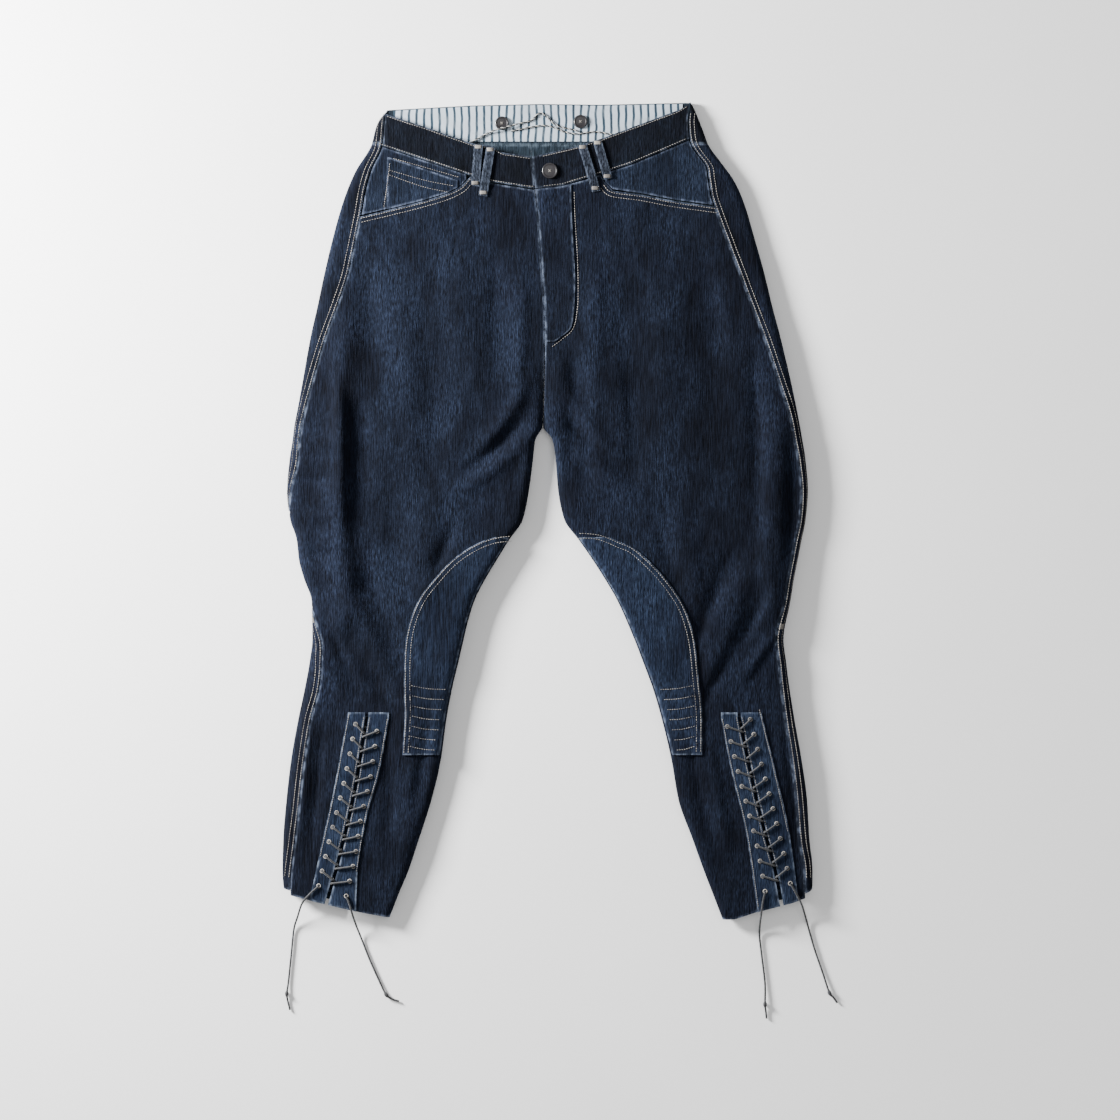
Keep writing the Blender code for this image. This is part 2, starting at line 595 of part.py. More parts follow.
def belt_loop(name, leg, top, foot, width, finish):
    """Strip from the band's top edge to just below its seam, standing off the band."""
    shares = np.array([0, 0.25, 0.5, 0.75, 0.86, 1])
    lift = np.array([1.9, 2.6, 2.6, 2.4, 1.9, 1.6]) + LAY_GAP
    lift[:4] += BAND_CLOTH - CLOTH
    x = np.array([[top[0] + (foot[0] - top[0]) * s + side * width / 2 for side in (-1, 1)] for s in shares])
    y = np.array([[top[1] + (foot[1] - top[1]) * s + side * width * 0.1 * leg.out for side in (-1, 1)]
                  for s in shares])
    return overlay(name, leg, x, y, lift[:, None] + np.zeros_like(x), THIN_CLOTH, finish)


def turned_button(name, x, y, z, diameter, finish):
    """Round button with a raised rim, turned from its half section."""
    r = diameter / 2
    profile = [(0, 0), (r - 0.6, 0), (r, 0.8), (r, 1.8), (r - 0.9, 2.8), (r - 2.4, 2.2), (0, 2.2)]
    mesh = bmesh.new()
    sides = 16
    rings = []
    for radius, height in profile:
        if radius == 0:
            rings.append([mesh.verts.new((x * MM, y * MM, (z + height) * MM))])
            continue
        ring = []
        for k in range(sides):
            turn = 2 * math.pi * k / sides
            ring.append(mesh.verts.new(((x + radius * math.cos(turn)) * MM,
                                        (y + radius * math.sin(turn)) * MM, (z + height) * MM)))
        rings.append(ring)
    for near, far in zip(rings, rings[1:]):
        for k in range(sides):
            corners = [near[k % len(near)], near[(k + 1) % len(near)],
                       far[(k + 1) % len(far)], far[k % len(far)]]
            mesh.faces.new(list(dict.fromkeys(corners)))
    bmesh.ops.recalc_face_normals(mesh, faces=mesh.faces)
    data = bpy.data.meshes.new(name)
    mesh.to_mesh(data)
    mesh.free()
    return link(bpy.data.objects.new(name, data), finish)


def smooth_route(points, spacing):
    """A smooth curve through the route's own points, read at an even spacing."""
    knots = np.asarray(points, float)
    ends = np.vstack([2 * knots[0] - knots[1], knots, 2 * knots[-1] - knots[-2]])
    pieces = []
    for a, b, c, d in zip(ends, ends[1:], ends[2:], ends[3:]):
        t = np.linspace(0, 1, 20, endpoint=False)[:, None]
        pieces.append(0.5 * (2 * b + (c - a) * t + (2 * a - 5 * b + 4 * c - d) * t ** 2
                             + (3 * b - 3 * c + d - a) * t ** 3))
    dense = np.vstack(pieces + [knots[-1:]])
    run = np.concatenate([[0], np.cumsum(np.linalg.norm(np.diff(dense, axis=0), axis=1))])
    count = max(2, round(run[-1] / spacing) + 1)
    at = np.linspace(0, run[-1], count)
    return np.stack([np.interp(at, run, dense[:, k]) for k in range(dense.shape[1])], axis=1)


def tube(name, points, diameter, finish, knot=None, resolution=2):
    curve = bpy.data.curves.new(name, "CURVE")
    curve.dimensions = "3D"
    curve.bevel_depth = diameter / 2 * MM
    curve.bevel_resolution = resolution
    curve.use_fill_caps = True
    spline = curve.splines.new("POLY")
    spline.points.add(len(points) - 1)
    for point, spot in zip(spline.points, points):
        point.co = (*(np.asarray(spot) * MM), 1.0)
        if knot is not None and np.linalg.norm(spot - np.asarray(knot)) < 3.4:
            point.radius = 2.0
    return link(bpy.data.objects.new(name, curve), finish)


def lacing(name, leg, side, finish):
    """One lace through both rows of eyelets, crossing itself under the flaps."""
    radius = LACE_DIAMETER / 2
    above = FLAP_LIFT + THIN_CLOTH + radius + 0.35
    below = FLAP_LIFT - radius - 0.5
    rows = {"outer": along(side["outer eyelets"], EYELETS), "inner": along(side["inner eyelets"], EYELETS)}

    def spot(x, y, lift):
        point, facing = leg.plan(x, y)
        return point + np.array([0, 0, 1]) * lift

    def run(start):
        """One end of the lace from its top eyelet down, changing sides at each crossing."""
        path = []
        near = start
        for k in range(EYELETS):
            x, y = rows[near][0][k], rows[near][1][k]
            path += [spot(x, y, below), spot(x, y, above if k < EYELETS - 1 else FLAP_LIFT + 0.8)]
            if k == EYELETS - 1:
                break
            fall = 11.0 if near == "outer" else 3.0
            meet_y = y - fall if near == "outer" else rows["outer"][1][k] - 15.5
            meet_x = down(side["meet"], meet_y)
            path += [spot(meet_x, meet_y, above), spot(meet_x, meet_y, below)]
            near = "inner" if near == "outer" else "outer"
        return path

    path = run("outer")[::-1] + run("inner")
    return tube(name, path, LACE_DIAMETER, finish, resolution=1)


def build():
    clear_scene()
    denim = material("denim", (0.018, 0.024, 0.045))
    band_denim = material("waistband denim", (0.014, 0.018, 0.034))
    facing_denim = material("facing denim", (0.020, 0.027, 0.048))
    patch_denim = material("patch denim", (0.022, 0.030, 0.055))
    flap_denim = material("flap denim", (0.026, 0.034, 0.062))
    ticking = material("striped ticking", (0.50, 0.58, 0.66))
    lace_finish = material("waxed lace", (0.022, 0.023, 0.026), roughness=0.6)
    cord_finish = material("twisted cord", (0.20, 0.20, 0.20))
    horn = material("black button", (0.006, 0.005, 0.006), roughness=0.35)

    left = Leg(-1, LEFT_ROWS, LEFT_SLOT)
    right = Leg(1, RIGHT_ROWS, RIGHT_SLOT)

    front_panel("front_left", left, LEFT_PANEL_TOP, LEFT_HEM, denim)
    front_panel("front_right", right, RIGHT_PANEL_TOP, RIGHT_HEM, denim)
    back_panel("back_left", left, LEFT_HEM, denim)
    back_panel("back_right", right, RIGHT_HEM, denim)
    back_band(left, right, band_denim)
    front_band("waistband_front_left", left, band_denim)
    front_band("waistband_front_right", right, band_denim)

    x = np.repeat(np.linspace(-196, 172, 12)[None, :], 3, axis=0)
    y = LINING_FOOT_Y + (across(BACK_TOP, x) - 1.5 - LINING_FOOT_Y) * np.array([[0], [0.5], [1]])
    points = np.stack([x, y, np.full_like(x, CLOTH + LAY_GAP + LINING_CLOTH)], axis=-1)
    shell("waistband_lining", points, np.array([0, 0, 1.0]), 0.0, LINING_CLOTH, ticking)

    pocket_facing("pocket_facing_left", left, LEFT_PANEL_TOP, facing_denim)
    pocket_facing("pocket_facing_right", right, RIGHT_PANEL_TOP, facing_denim)
    x, y = plan_grid(lambda y: -204.0, lambda y: -114.0, lambda x: across(LEFT_PANEL_TOP, x) + 1.2,
                     lambda x: across(BAND_SEAM, x) - 11.0, 8, 3, (384, 448), (410, 424))
    overlay("watch_pocket", left, x, y, LAY_GAP + THIN_CLOTH - FACING_DROP, THIN_CLOTH, facing_denim)

    levels = np.array([407, 380, 340, 300, 264, 245, 232, 222, 214])
    edge_x = down(FLY_EDGE, levels)
    x = np.array([np.linspace(right.at("inner", v) + 0.4, e, 4) for v, e in zip(levels, edge_x)])
    y = np.repeat(levels[:, None], 4, axis=1).astype(float)
    y[0] = across(BAND_SEAM, x[0]) - 2 * SEAM_GAP
    overlay("fly_piece", right, x, y, 2 * LAY_GAP + THIN_CLOTH, THIN_CLOTH, denim)

    patch("knee_patch_left", left, LEFT_PATCH, patch_denim)
    patch("knee_patch_right", right, RIGHT_PATCH, patch_denim)

    for word, leg, side, hem in (("left", left, LEFT_LACING, LEFT_HEM),
                                 ("right", right, RIGHT_LACING, RIGHT_HEM)):
        tongue("tongue_" + word, leg, facing_denim)
        flap("flap_" + word + "_outer", leg, side, "outer", hem, flap_denim)
        flap("flap_" + word + "_inner", leg, side, "inner", hem, flap_denim)
        lacing("lacing_" + word, leg, side, lace_finish)

    for name, leg, top, foot in (("belt_loop_1", left, (-87.5, 464), (-92, 412)),
                                 ("belt_loop_2", left, (-72, 461), (-82, 399)),
                                 ("belt_loop_3", right, (44, 464), (62, 405)),
                                 ("belt_loop_4", right, (63, 469), (77, 421))):
        belt_loop(name, leg, top, foot, LOOP_WIDTH, band_denim)

    on_lining = CLOTH + 2 * LAY_GAP + LINING_CLOTH
    turned_button("back_button_left", -58, 493, on_lining, BUTTON_DIAMETER, horn)
    turned_button("back_button_right", 42, 495, on_lining, BUTTON_DIAMETER, horn)
    band_top = float(right.plan(3.0, 431.0)[0][2]) + BAND_CLOTH - CLOTH
    turned_button("front_button", 3, 431, band_top + LAY_GAP, FRONT_BUTTON_DIAMETER, horn)

    tube("waist_cord_upper", smooth_route(UPPER_WAIST_CORD, 6), WAIST_CORD_DIAMETER, cord_finish)
    tube("waist_cord_lower", smooth_route(LOWER_WAIST_CORD, 6), WAIST_CORD_DIAMETER, cord_finish)

    for name, route in (("lace_end_left_outer", LEFT_OUTER_END), ("lace_end_left_inner", LEFT_INNER_END),
                        ("lace_end_right_inner", RIGHT_INNER_END), ("lace_end_right_outer", RIGHT_OUTER_END)):
        tube(name, smooth_route(route, 7), LACE_DIAMETER, lace_finish, knot=route[7])


build()
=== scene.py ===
"""Looks of the denim breeches laid flat with the front up.

Tables give real sizes in millimetres, in the frame of the solids: +Y towards the
waist, +X to the right of the front as it lies, +Z up from the surface.
"""
import math
from collections import namedtuple

import bpy
import numpy as np
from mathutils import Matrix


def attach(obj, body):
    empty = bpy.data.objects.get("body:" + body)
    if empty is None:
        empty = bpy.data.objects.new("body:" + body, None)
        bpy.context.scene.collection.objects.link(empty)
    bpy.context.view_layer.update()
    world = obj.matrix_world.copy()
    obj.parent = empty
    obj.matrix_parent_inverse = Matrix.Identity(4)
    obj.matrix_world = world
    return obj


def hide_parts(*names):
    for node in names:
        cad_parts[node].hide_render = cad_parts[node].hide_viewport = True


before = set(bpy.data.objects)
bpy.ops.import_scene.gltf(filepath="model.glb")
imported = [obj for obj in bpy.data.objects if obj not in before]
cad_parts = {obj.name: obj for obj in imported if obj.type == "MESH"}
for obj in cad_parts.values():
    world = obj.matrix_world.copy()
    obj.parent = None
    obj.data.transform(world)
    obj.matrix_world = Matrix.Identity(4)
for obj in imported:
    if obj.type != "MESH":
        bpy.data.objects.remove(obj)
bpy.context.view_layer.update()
MM = 0.001

# Camera, straight above the middle of the view.
lens = bpy.data.cameras.new("camera")
lens.lens = 85
lens.sensor_width = 36
camera = bpy.data.objects.new("camera", lens)
camera.location = (0.0159, -0.0629, 3.37)
bpy.context.scene.collection.objects.link(camera)
bpy.context.scene.camera = camera

# Colours and shader nodes.


def srgb(text):
    """Linear colour of a hex string."""
    parts = [int(text[k:k + 2], 16) / 255 for k in (0, 2, 4)]
    return (*[c / 12.92 if c <= 0.04045 else ((c + 0.055) / 1.055) ** 2.4 for c in parts], 1.0)


def add(tree, kind, inputs=None, **settings):
    """Adds one shader node. inputs maps a socket to a value or to another node's socket."""
    node = tree.nodes.new("ShaderNode" + kind)
    for key, value in settings.items():
        setattr(node, key, value)
    for key, value in (inputs or {}).items():
        if isinstance(value, bpy.types.NodeSocket):
            tree.links.new(value, node.inputs[key])
        else:
            node.inputs[key].default_value = value
    return node


def maths(tree, operation, first, second=0.0, third=0.0, clamp=False):
    inputs = {0: first, 1: second}
    if operation in ("MULTIPLY_ADD", "SMOOTH_MIN", "SMOOTH_MAX"):
        inputs[2] = third
    return add(tree, "Math", inputs, operation=operation, use_clamp=clamp).outputs[0]


def scaled(tree, size):
    """Object coordinates measured in cells of the given size, in mm."""
    spot = add(tree, "TexCoord").outputs["Object"]
    return add(tree, "Mapping", {"Vector": spot, "Scale": [1 / (s * MM) for s in size]}).outputs[0]


def noise(tree, size, detail=2.0, roughness=0.5, kind="Fac"):
    """Noise from 0 to 1 with cells of the given size, in mm."""
    made = add(tree, "TexNoise", {"Vector": scaled(tree, size), "Scale": 1.0, "Detail": detail,
                                  "Roughness": roughness})
    return made.outputs[kind]


def spread(tree, value, low, high, low_out=0.0, high_out=1.0):
    made = add(tree, "MapRange", {0: value, 1: low, 2: high, 3: low_out, 4: high_out},
               interpolation_type="SMOOTHSTEP")
    return made.outputs[0]


def mix(tree, share, first, second):
    made = add(tree, "Mix", {0: share, 6: first, 7: second}, data_type="RGBA", blend_type="MIX")
    return made.outputs[2]


def finish(name):
    made = bpy.data.materials.new(name)
    made.use_nodes = True
    tree = made.node_tree
    return made, tree, tree.nodes["Principled BSDF"].inputs


def bump(tree, height, strength, distance):
    made = add(tree, "Bump", {"Height": height, "Strength": strength, "Distance": distance * MM})
    return made.outputs[0]


# The free lace ends: waxed lace with a knot near each tip. Routes are x, y and height.
made, tree, into = finish("waxed lace")
strands = add(tree, "TexWave", {"Vector": scaled(tree, (3.0, 3.0, 3.0)), "Scale": 1.1, "Distortion": 2.0,
                                "Detail": 2.0}).outputs["Fac"]
lint = spread(tree, noise(tree, (5, 5, 5), 3), 0.45, 0.75)
into["Base Color"].default_value = srgb("1c1d22")
tree.links.new(mix(tree, lint, mix(tree, strands, srgb("08090b"), srgb("191a1f")), srgb("2c2e34")),
               into["Base Color"])
into["Roughness"].default_value = 0.62
into["Sheen Weight"].default_value = 0.25
tree.links.new(bump(tree, strands, 0.5, 0.3), into["Normal"])
lace_finish = made

LACE_DIAMETER = 2.5
LEFT_OUTER_END = [(-290, -476, 18.9), (-300, -485, 18.9), (-311, -498, 15.0),
                  (-318, -517, 6.5), (-323, -533, 1.9), (-326, -561, 1.5),
                  (-330, -600, 1.6), (-332, -615, 2.8), (-331, -624, 1.6), (-328, -636, 1.5)]
LEFT_INNER_END = [(-255, -489, 18.9), (-251, -499, 18.9), (-247.5, -512, 17.5),
                  (-243, -528, 8.5), (-237, -545, 2.1), (-226, -573, 1.5),
                  (-212, -604, 1.6), (-205, -617, 2.8), (-198, -622, 1.6), (-189, -625, 1.5)]
RIGHT_INNER_END = [(276, -483, 18.9), (273, -496, 18.9), (271, -512, 17.5),
                   (270, -527, 8.0), (270, -542, 2.1), (273, -568, 1.5), (277, -602, 1.6),
                   (277, -629, 2.8), (278, -637, 1.6), (279, -647, 1.5)]
RIGHT_OUTER_END = [(308, -473, 18.9), (315, -485, 18.9), (322, -499, 16.0),
                   (327, -513, 7.5), (332, -530, 2.0), (340, -558, 1.5), (351, -590, 1.6),
                   (359, -614, 2.8), (364, -620, 1.6), (369, -627, 1.5)]
KNOT = 7


def smooth_route(points, spacing):
    """A smooth curve through the route's own points, read at an even spacing."""
    knots = np.asarray(points, float)
    ends = np.vstack([2 * knots[0] - knots[1], knots, 2 * knots[-1] - knots[-2]])
    pieces = []
    for a, b, c, d in zip(ends, ends[1:], ends[2:], ends[3:]):
        t = np.linspace(0, 1, 20, endpoint=False)[:, None]
        pieces.append(0.5 * (2 * b + (c - a) * t + (2 * a - 5 * b + 4 * c - d) * t ** 2
                             + (3 * b - 3 * c + d - a) * t ** 3))
    dense = np.vstack(pieces + [knots[-1:]])
    run = np.concatenate([[0], np.cumsum(np.linalg.norm(np.diff(dense, axis=0), axis=1))])
    count = max(2, round(run[-1] / spacing) + 1)
    at = np.linspace(0, run[-1], count)
    return np.stack([np.interp(at, run, dense[:, k]) for k in range(dense.shape[1])], axis=1)


def show(obj, slot, *nodes):
    """Links an object, fixes it to the body and hides the solids of the nodes it stands for."""
    bpy.context.scene.collection.objects.link(obj)
    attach(obj, "root")
    if nodes:
        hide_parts(*nodes)
    return obj


def tube(name, points, diameter, look, radii=None, resolution=3):
    """A round strand along points in mm."""
    curve = bpy.data.curves.new(name + "_strand", "CURVE")
    curve.dimensions = "3D"
    curve.bevel_depth = diameter / 2 * MM
    curve.bevel_resolution = resolution
    curve.use_fill_caps = True
    spline = curve.splines.new("POLY")
    spline.points.add(len(points) - 1)
    for k, spot in enumerate(points):
        spline.points[k].co = (*(np.asarray(spot) * MM), 1.0)
        spline.points[k].radius = 1.0 if radii is None else float(radii[k])
    curve.materials.append(look)
    return bpy.data.objects.new(name + "_strand", curve)


for name, route in (("lace_end_left_outer", LEFT_OUTER_END), ("lace_end_left_inner", LEFT_INNER_END),
                    ("lace_end_right_inner", RIGHT_INNER_END), ("lace_end_right_outer", RIGHT_OUTER_END)):
    points = smooth_route(route, 2.5)
    off = np.linalg.norm(points - np.array(route[KNOT]), axis=1)
    radii = 1.0 + 1.0 * np.exp(-(off / 2.8) ** 4) + 0.05 * np.sin(np.arange(len(points)) * 2.3)
    end = show(tube(name, points, LACE_DIAMETER, lace_finish, radii), "lace", name)

# Form of the two legs, as the solids have it.
CLOTH = 2.0
BAND_CLOTH = 3.0
THIN_CLOTH = 1.2
LINING_CLOTH = 0.9
SEAM_GAP = 0.3
LAY_GAP = 0.35
PATCH_LIFT = 1.2
FLAP_LIFT = 0.7
FLAP_GAP = 4.5
EYELETS = 12
BACK_HEM_RISE = 6.0
FACING_DROP = 0.7

# One row for each level of a leg, in mm. outer and inner are the outline and the
# centre line or inseam. seam is how far the side seam lies in from the outline, less
# than zero where it has gone underneath. close is 1 where the inner edge is closed.
Row = namedtuple("Row", "y outer inner seam height round_out round_in close")
LEFT_ROWS = [
    Row(525, -202, -8, -3, 8, 5, 3, 0),
    Row(509, -206, -8, -1, 9, 5, 3, 0),
    Row(491, -217, -10, 9, 11, 6, 3, 0),
    Row(463, -225, -21, 14, 12, 7, 3, 0),
    Row(432, -244, -18, 19, 12, 8, 3, 0),
    Row(407, -255, -16, 23, 12, 9, 3, 0),
    Row(373, -266, -12, 28, 13, 10, 3, 0),
    Row(305, -283, -7, 31, 14, 10, 3, 0),
    Row(267, -291, -4, 27, 15, 10, 3, 0),
    Row(217, -302, -3, 20, 16, 10, 3, 0),
    Row(166, -311, -4, 14, 17, 11, 4, 0.15),
    Row(128, -318, -5, 11, 17, 12, 6, 0.7),
    Row(107, -322, -6, 10, 17, 12, 8, 1),
    Row(90, -324, -15, 10, 18, 12, 10, 1),
    Row(64, -328, -18, 12, 18, 12, 11, 1),
    Row(26, -331, -23, 6, 18, 12, 12, 1),
    Row(-12, -327, -31, -2, 18, 12, 12, 1),
    Row(-37, -319, -48, -4, 18, 11, 12, 1),
    Row(-63, -316, -64, -4, 18, 11, 12, 1),
    Row(-88, -309, -79, -4, 18, 10, 12, 1),
    Row(-114, -300, -92, -2, 18, 10, 12, 1),
    Row(-139, -299, -100, 4, 18, 10, 12, 1),
    Row(-164, -299, -106, 12, 18, 10, 12, 1),
    Row(-190, -302, -112, 16, 18, 10, 12, 1),
    Row(-228, -309, -121, 19, 17, 11, 12, 1),
    Row(-266, -317, -128, 17, 17, 11, 12, 1),
    Row(-317, -326, -135, 18, 17, 11, 12, 1),
    Row(-368, -332, -147, 18, 16, 11, 12, 1),
    Row(-418, -336, -163, 16, 16, 11, 11, 1),
    Row(-457, -337, -176, 12, 15, 10, 10, 1),
    Row(-488, -335, -189, 9, 15, 9, 9, 1),
    Row(-530, -331, -205, 8, 14, 9, 9, 1),
]
RIGHT_ROWS = [
    Row(525, 180, -8, -2, 8, 5, 3, 0),
    Row(506, 189, -8, 9, 10, 5, 3, 0),
    Row(491, 195, -10, 16, 11, 6, 3, 0),
    Row(463, 206, -21, 22, 12, 7, 3, 0),
    Row(441, 222, -19, 22, 12, 8, 3, 0),
    Row(420, 237, -17, 32, 12, 8, 3, 0),
    Row(394, 249, -14, 39, 12, 9, 3, 0),
    Row(344, 264, -10, 36, 13, 10, 3, 0),
    Row(305, 275, -7, 32, 14, 10, 3, 0),
    Row(267, 284, -4, 27, 15, 10, 3, 0),
    Row(217, 297, -3, 21, 16, 10, 3, 0),
    Row(166, 309, -4, 16, 17, 11, 4, 0.15),
    Row(128, 317, -5, 12, 17, 12, 6, 0.7),
    Row(107, 321, -6, 11, 17, 12, 8, 1),
    Row(90, 324, 6, 11, 18, 12, 10, 1),
    Row(64, 328, 10, 10, 18, 12, 11, 1),
    Row(26, 331, 13, 9, 18, 12, 12, 1),
    Row(-12, 328, 21, 8, 18, 12, 12, 1),
    Row(-37, 323, 39, 8, 18, 12, 12, 1),
    Row(-63, 318, 57, 8, 18, 11, 12, 1),
    Row(-88, 313, 73, 8, 18, 11, 12, 1),
    Row(-114, 309, 88, 8, 18, 10, 12, 1),
    Row(-164, 300, 110, 10, 18, 10, 12, 1),
    Row(-190, 303, 120, 10, 18, 10, 12, 1),
    Row(-228, 308, 134, 11, 17, 11, 12, 1),
    Row(-266, 314, 145, 12, 17, 11, 12, 1),
    Row(-317, 323, 157, 13, 17, 11, 12, 1),
    Row(-368, 330, 166, 14, 16, 11, 12, 1),
    Row(-418, 333, 184, 13, 16, 11, 11, 1),
    Row(-457, 337, 198, 11, 15, 10, 10, 1),
    Row(-488, 337, 210, 10, 15, 9, 9, 1),
    Row(-530, 341, 226, 9, 14, 9, 9, 1),
]

# Large folds of the front, each a ridge (rise above 0) or trough along a line, in mm.
Fold = namedtuple("Fold", "x0 y0 x1 y1 width rise")
FOLDS = [
    Fold(-258, 215, -261, 100, 18, 5),
    Fold(-262, 20, -254, -110, 20, 7),
    Fold(-238, 120, -234, -90, 13, -4),
    Fold(-247, -172, -221, -214, 12, -5),
    Fold(-214, -218, -197, -236, 7, -3.5),
    Fold(-262, -150, -196, -222, 12, 4),
    Fold(-222, -98, -196, -164, 11, -4),
    Fold(-312, 64, -280, 52, 7, 1.5),
    Fold(-316, 22, -284, 8, 7, 1.5),
    Fold(-306, -30, -276, -42, 7, 1.5),
    Fold(-300, -72, -272, -84, 7, 1.5),
    Fold(290, 95, 282, -118, 17, 6),
    Fold(247, -98, 213, -188, 12, 4.5),
    Fold(228, -70, 198, -144, 11, -5),
    Fold(42, 170, 46, 50, 11, -4),
    Fold(116, 150, 112, 60, 13, -3),
    Fold(-4, 170, -5, 108, 9, -3),
]

# Plan curves, in mm: x then y.
FRONT_TOP = [(-206, 504), (-180, 495), (-149, 485), (-125, 476), (-92, 465), (-72, 463),
             (-60, 455), (-20, 449), (36, 462), (65, 471), (119, 491), (170, 510), (182, 519)]
BAND_SEAM = [(-212, 463), (-185, 454), (-131, 436), (-74, 417), (-17, 408), (18, 412),
             (74, 429), (107, 440), (143, 455), (180, 471)]
BACK_TOP = [(-206, 510), (-98, 516), (-10, 518), (67, 517), (182, 519.5)]
LEFT_PANEL_TOP = [(-238, 373), (-192, 384), (-157, 393), (-128, 402), (-110, 411),
                  (-102, 420), (-98, 424), (-74, 416), (-17, 407)]
RIGHT_PANEL_TOP = [(-17, 408), (18, 412), (49, 420), (68, 427), (73, 415), (83, 406),
                   (119, 401), (161, 393), (218, 385)]
LEFT_HEM = [(-340, -485), (-289, -498), (-238, -510), (-190, -519)]
RIGHT_HEM = [(220, -520), (238, -519), (265, -510), (311, -498), (333, -490), (342, -482)]
BACK_SEAM_Y = 466
LEVELS = [300, 250, 205, 165, 128, 107, 90, 64, 26, -12, -37, -63, -88, -114, -139, -164, -190,
          -228, -262, -300, -340, -380, -420]
LINING_FOOT_Y = 470

# The calf slot under the lacing: the cut edges of the front panel at each level.
Slot = namedtuple("Slot", "y outer inner")
LEFT_SLOT = [Slot(470, -170, -98), Slot(400, -185, -98), Slot(107, -235, -110), Slot(-262, -250, -204),
             Slot(-340, -265, -217), Slot(-388, -276, -232), Slot(-460, -291, -243),
             Slot(-535, -307, -245)]
RIGHT_SLOT = [Slot(470, 160, 72), Slot(400, 175, 72), Slot(107, 235, 110), Slot(-262, 268, 223),
              Slot(-326, 285, 235), Slot(-410, 304, 255), Slot(-505, 316, 269),
              Slot(-535, 320, 271)]
SLOT_TOP_Y = -262

# A lacing side: where the flaps meet, their outer edges, and both rows of eyelets.
LEFT_LACING = {
    "meet": [(-229, -262), (-245, -358), (-262, -432), (-282, -505)],
    "outer edge": [(-253, -258), (-271, -354), (-290, -440), (-303, -500)],
    "inner edge": [(-201, -264), (-213, -330), (-229, -388), (-241, -460), (-243, -515)],
    "outer eyelets": [(-243, -271), (-257, -342), (-276, -417), (-290, -476)],
    "inner eyelets": [(-216, -280), (-224, -337), (-237, -394), (-243, -434), (-255, -489)],
}
RIGHT_LACING = {
    "meet": [(243, -262), (258, -335), (275, -406), (288, -453), (298, -505)],
    "outer edge": [(270, -252), (288, -326), (307, -410), (319, -500)],
    "inner edge": [(220, -264), (232, -326), (252, -410), (266, -505), (268, -515)],
    "outer eyelets": [(257, -265), (272, -324), (286, -378), (300, -436), (308, -473)],
    "inner eyelets": [(228, -274), (242, -332), (257, -389), (268, -435), (276, -483)],
}

# Knee patches: outer edge from the top down, in mm.
LEFT_PATCH = [(-49, -30), (-77, -37), (-100, -48), (-123, -65), (-144, -88), (-161, -110),
              (-173, -137), (-180, -170), (-182, -225), (-181, -258), (-184, -310)]
RIGHT_PATCH = [(41, -27), (67, -30), (92, -40), (111, -49), (140, -76), (163, -105),
               (177, -131), (187, -170), (192, -215), (196, -258), (196, -310)]
PATCH_ROWS = 7
PATCH_ROW_PITCH = 12.8
PATCH_ROW_TOP = -226
PATCH_RIB = 0.7
FLY_EDGE = [(30, 408), (31, 373), (35, 290), (34, 256), (30, 232), (16, 219), (2, 209)]


def steady(ys, values, y):
    """A smooth curve through the rows of a table that never overshoots them."""
    ys = np.asarray(ys, float)
    values = np.asarray(values, float)
    step = np.diff(ys)
    rise = np.diff(values) / step
    slope = np.zeros_like(values)
    same = rise[1:] * rise[:-1] > 0
    total = np.where(same, rise[1:] + rise[:-1], 1.0)
    slope[1:-1] = np.where(same, 2 * rise[1:] * rise[:-1] / total, 0.0)
    slope[0] = rise[0]
    slope[-1] = rise[-1]
    y = np.clip(y, ys[0], ys[-1])
    k = np.clip(np.searchsorted(ys, y) - 1, 0, len(step) - 1)
    t = (y - ys[k]) / step[k]
    return (values[k] * (2 * t ** 3 - 3 * t ** 2 + 1) + values[k + 1] * (3 * t ** 2 - 2 * t ** 3)
            + step[k] * (slope[k] * (t ** 3 - 2 * t ** 2 + t) + slope[k + 1] * (t ** 3 - t ** 2)))


def across(points, x):
    """y of a plan curve at x."""
    points = sorted(points)
    return np.interp(x, [p[0] for p in points], [p[1] for p in points])


def down(points, y):
    """x of a plan curve at y, for a curve that runs down the leg."""
    points = sorted(points, key=lambda p: p[1])
    return steady([p[1] for p in points], [p[0] for p in points], y)


def along(points, count):
    """count points evenly spaced along a smooth plan curve that runs down the leg."""
    y = np.linspace(points[0][1], points[-1][1], 200)
    x = down(points, y)
    run = np.concatenate([[0], np.cumsum(np.hypot(np.diff(x), np.diff(y)))])
    at = np.linspace(0, run[-1], count)
    return np.interp(at, run, x), np.interp(at, run, y)


def fold_height(x, y):
    total = np.zeros(np.broadcast(x, y).shape)
    for fold in FOLDS:
        run = np.array([fold.x1 - fold.x0, fold.y1 - fold.y0], float)
        length = np.hypot(*run)
        run /= length
        t = (x - fold.x0) * run[0] + (y - fold.y0) * run[1]
        side = (x - fold.x0) * run[1] - (y - fold.y0) * run[0]
        past = np.maximum(0, np.maximum(-t, t - length))
        total += fold.rise * np.exp(-(side / fold.width) ** 2 - (past / (2 * fold.width)) ** 2)
    return total


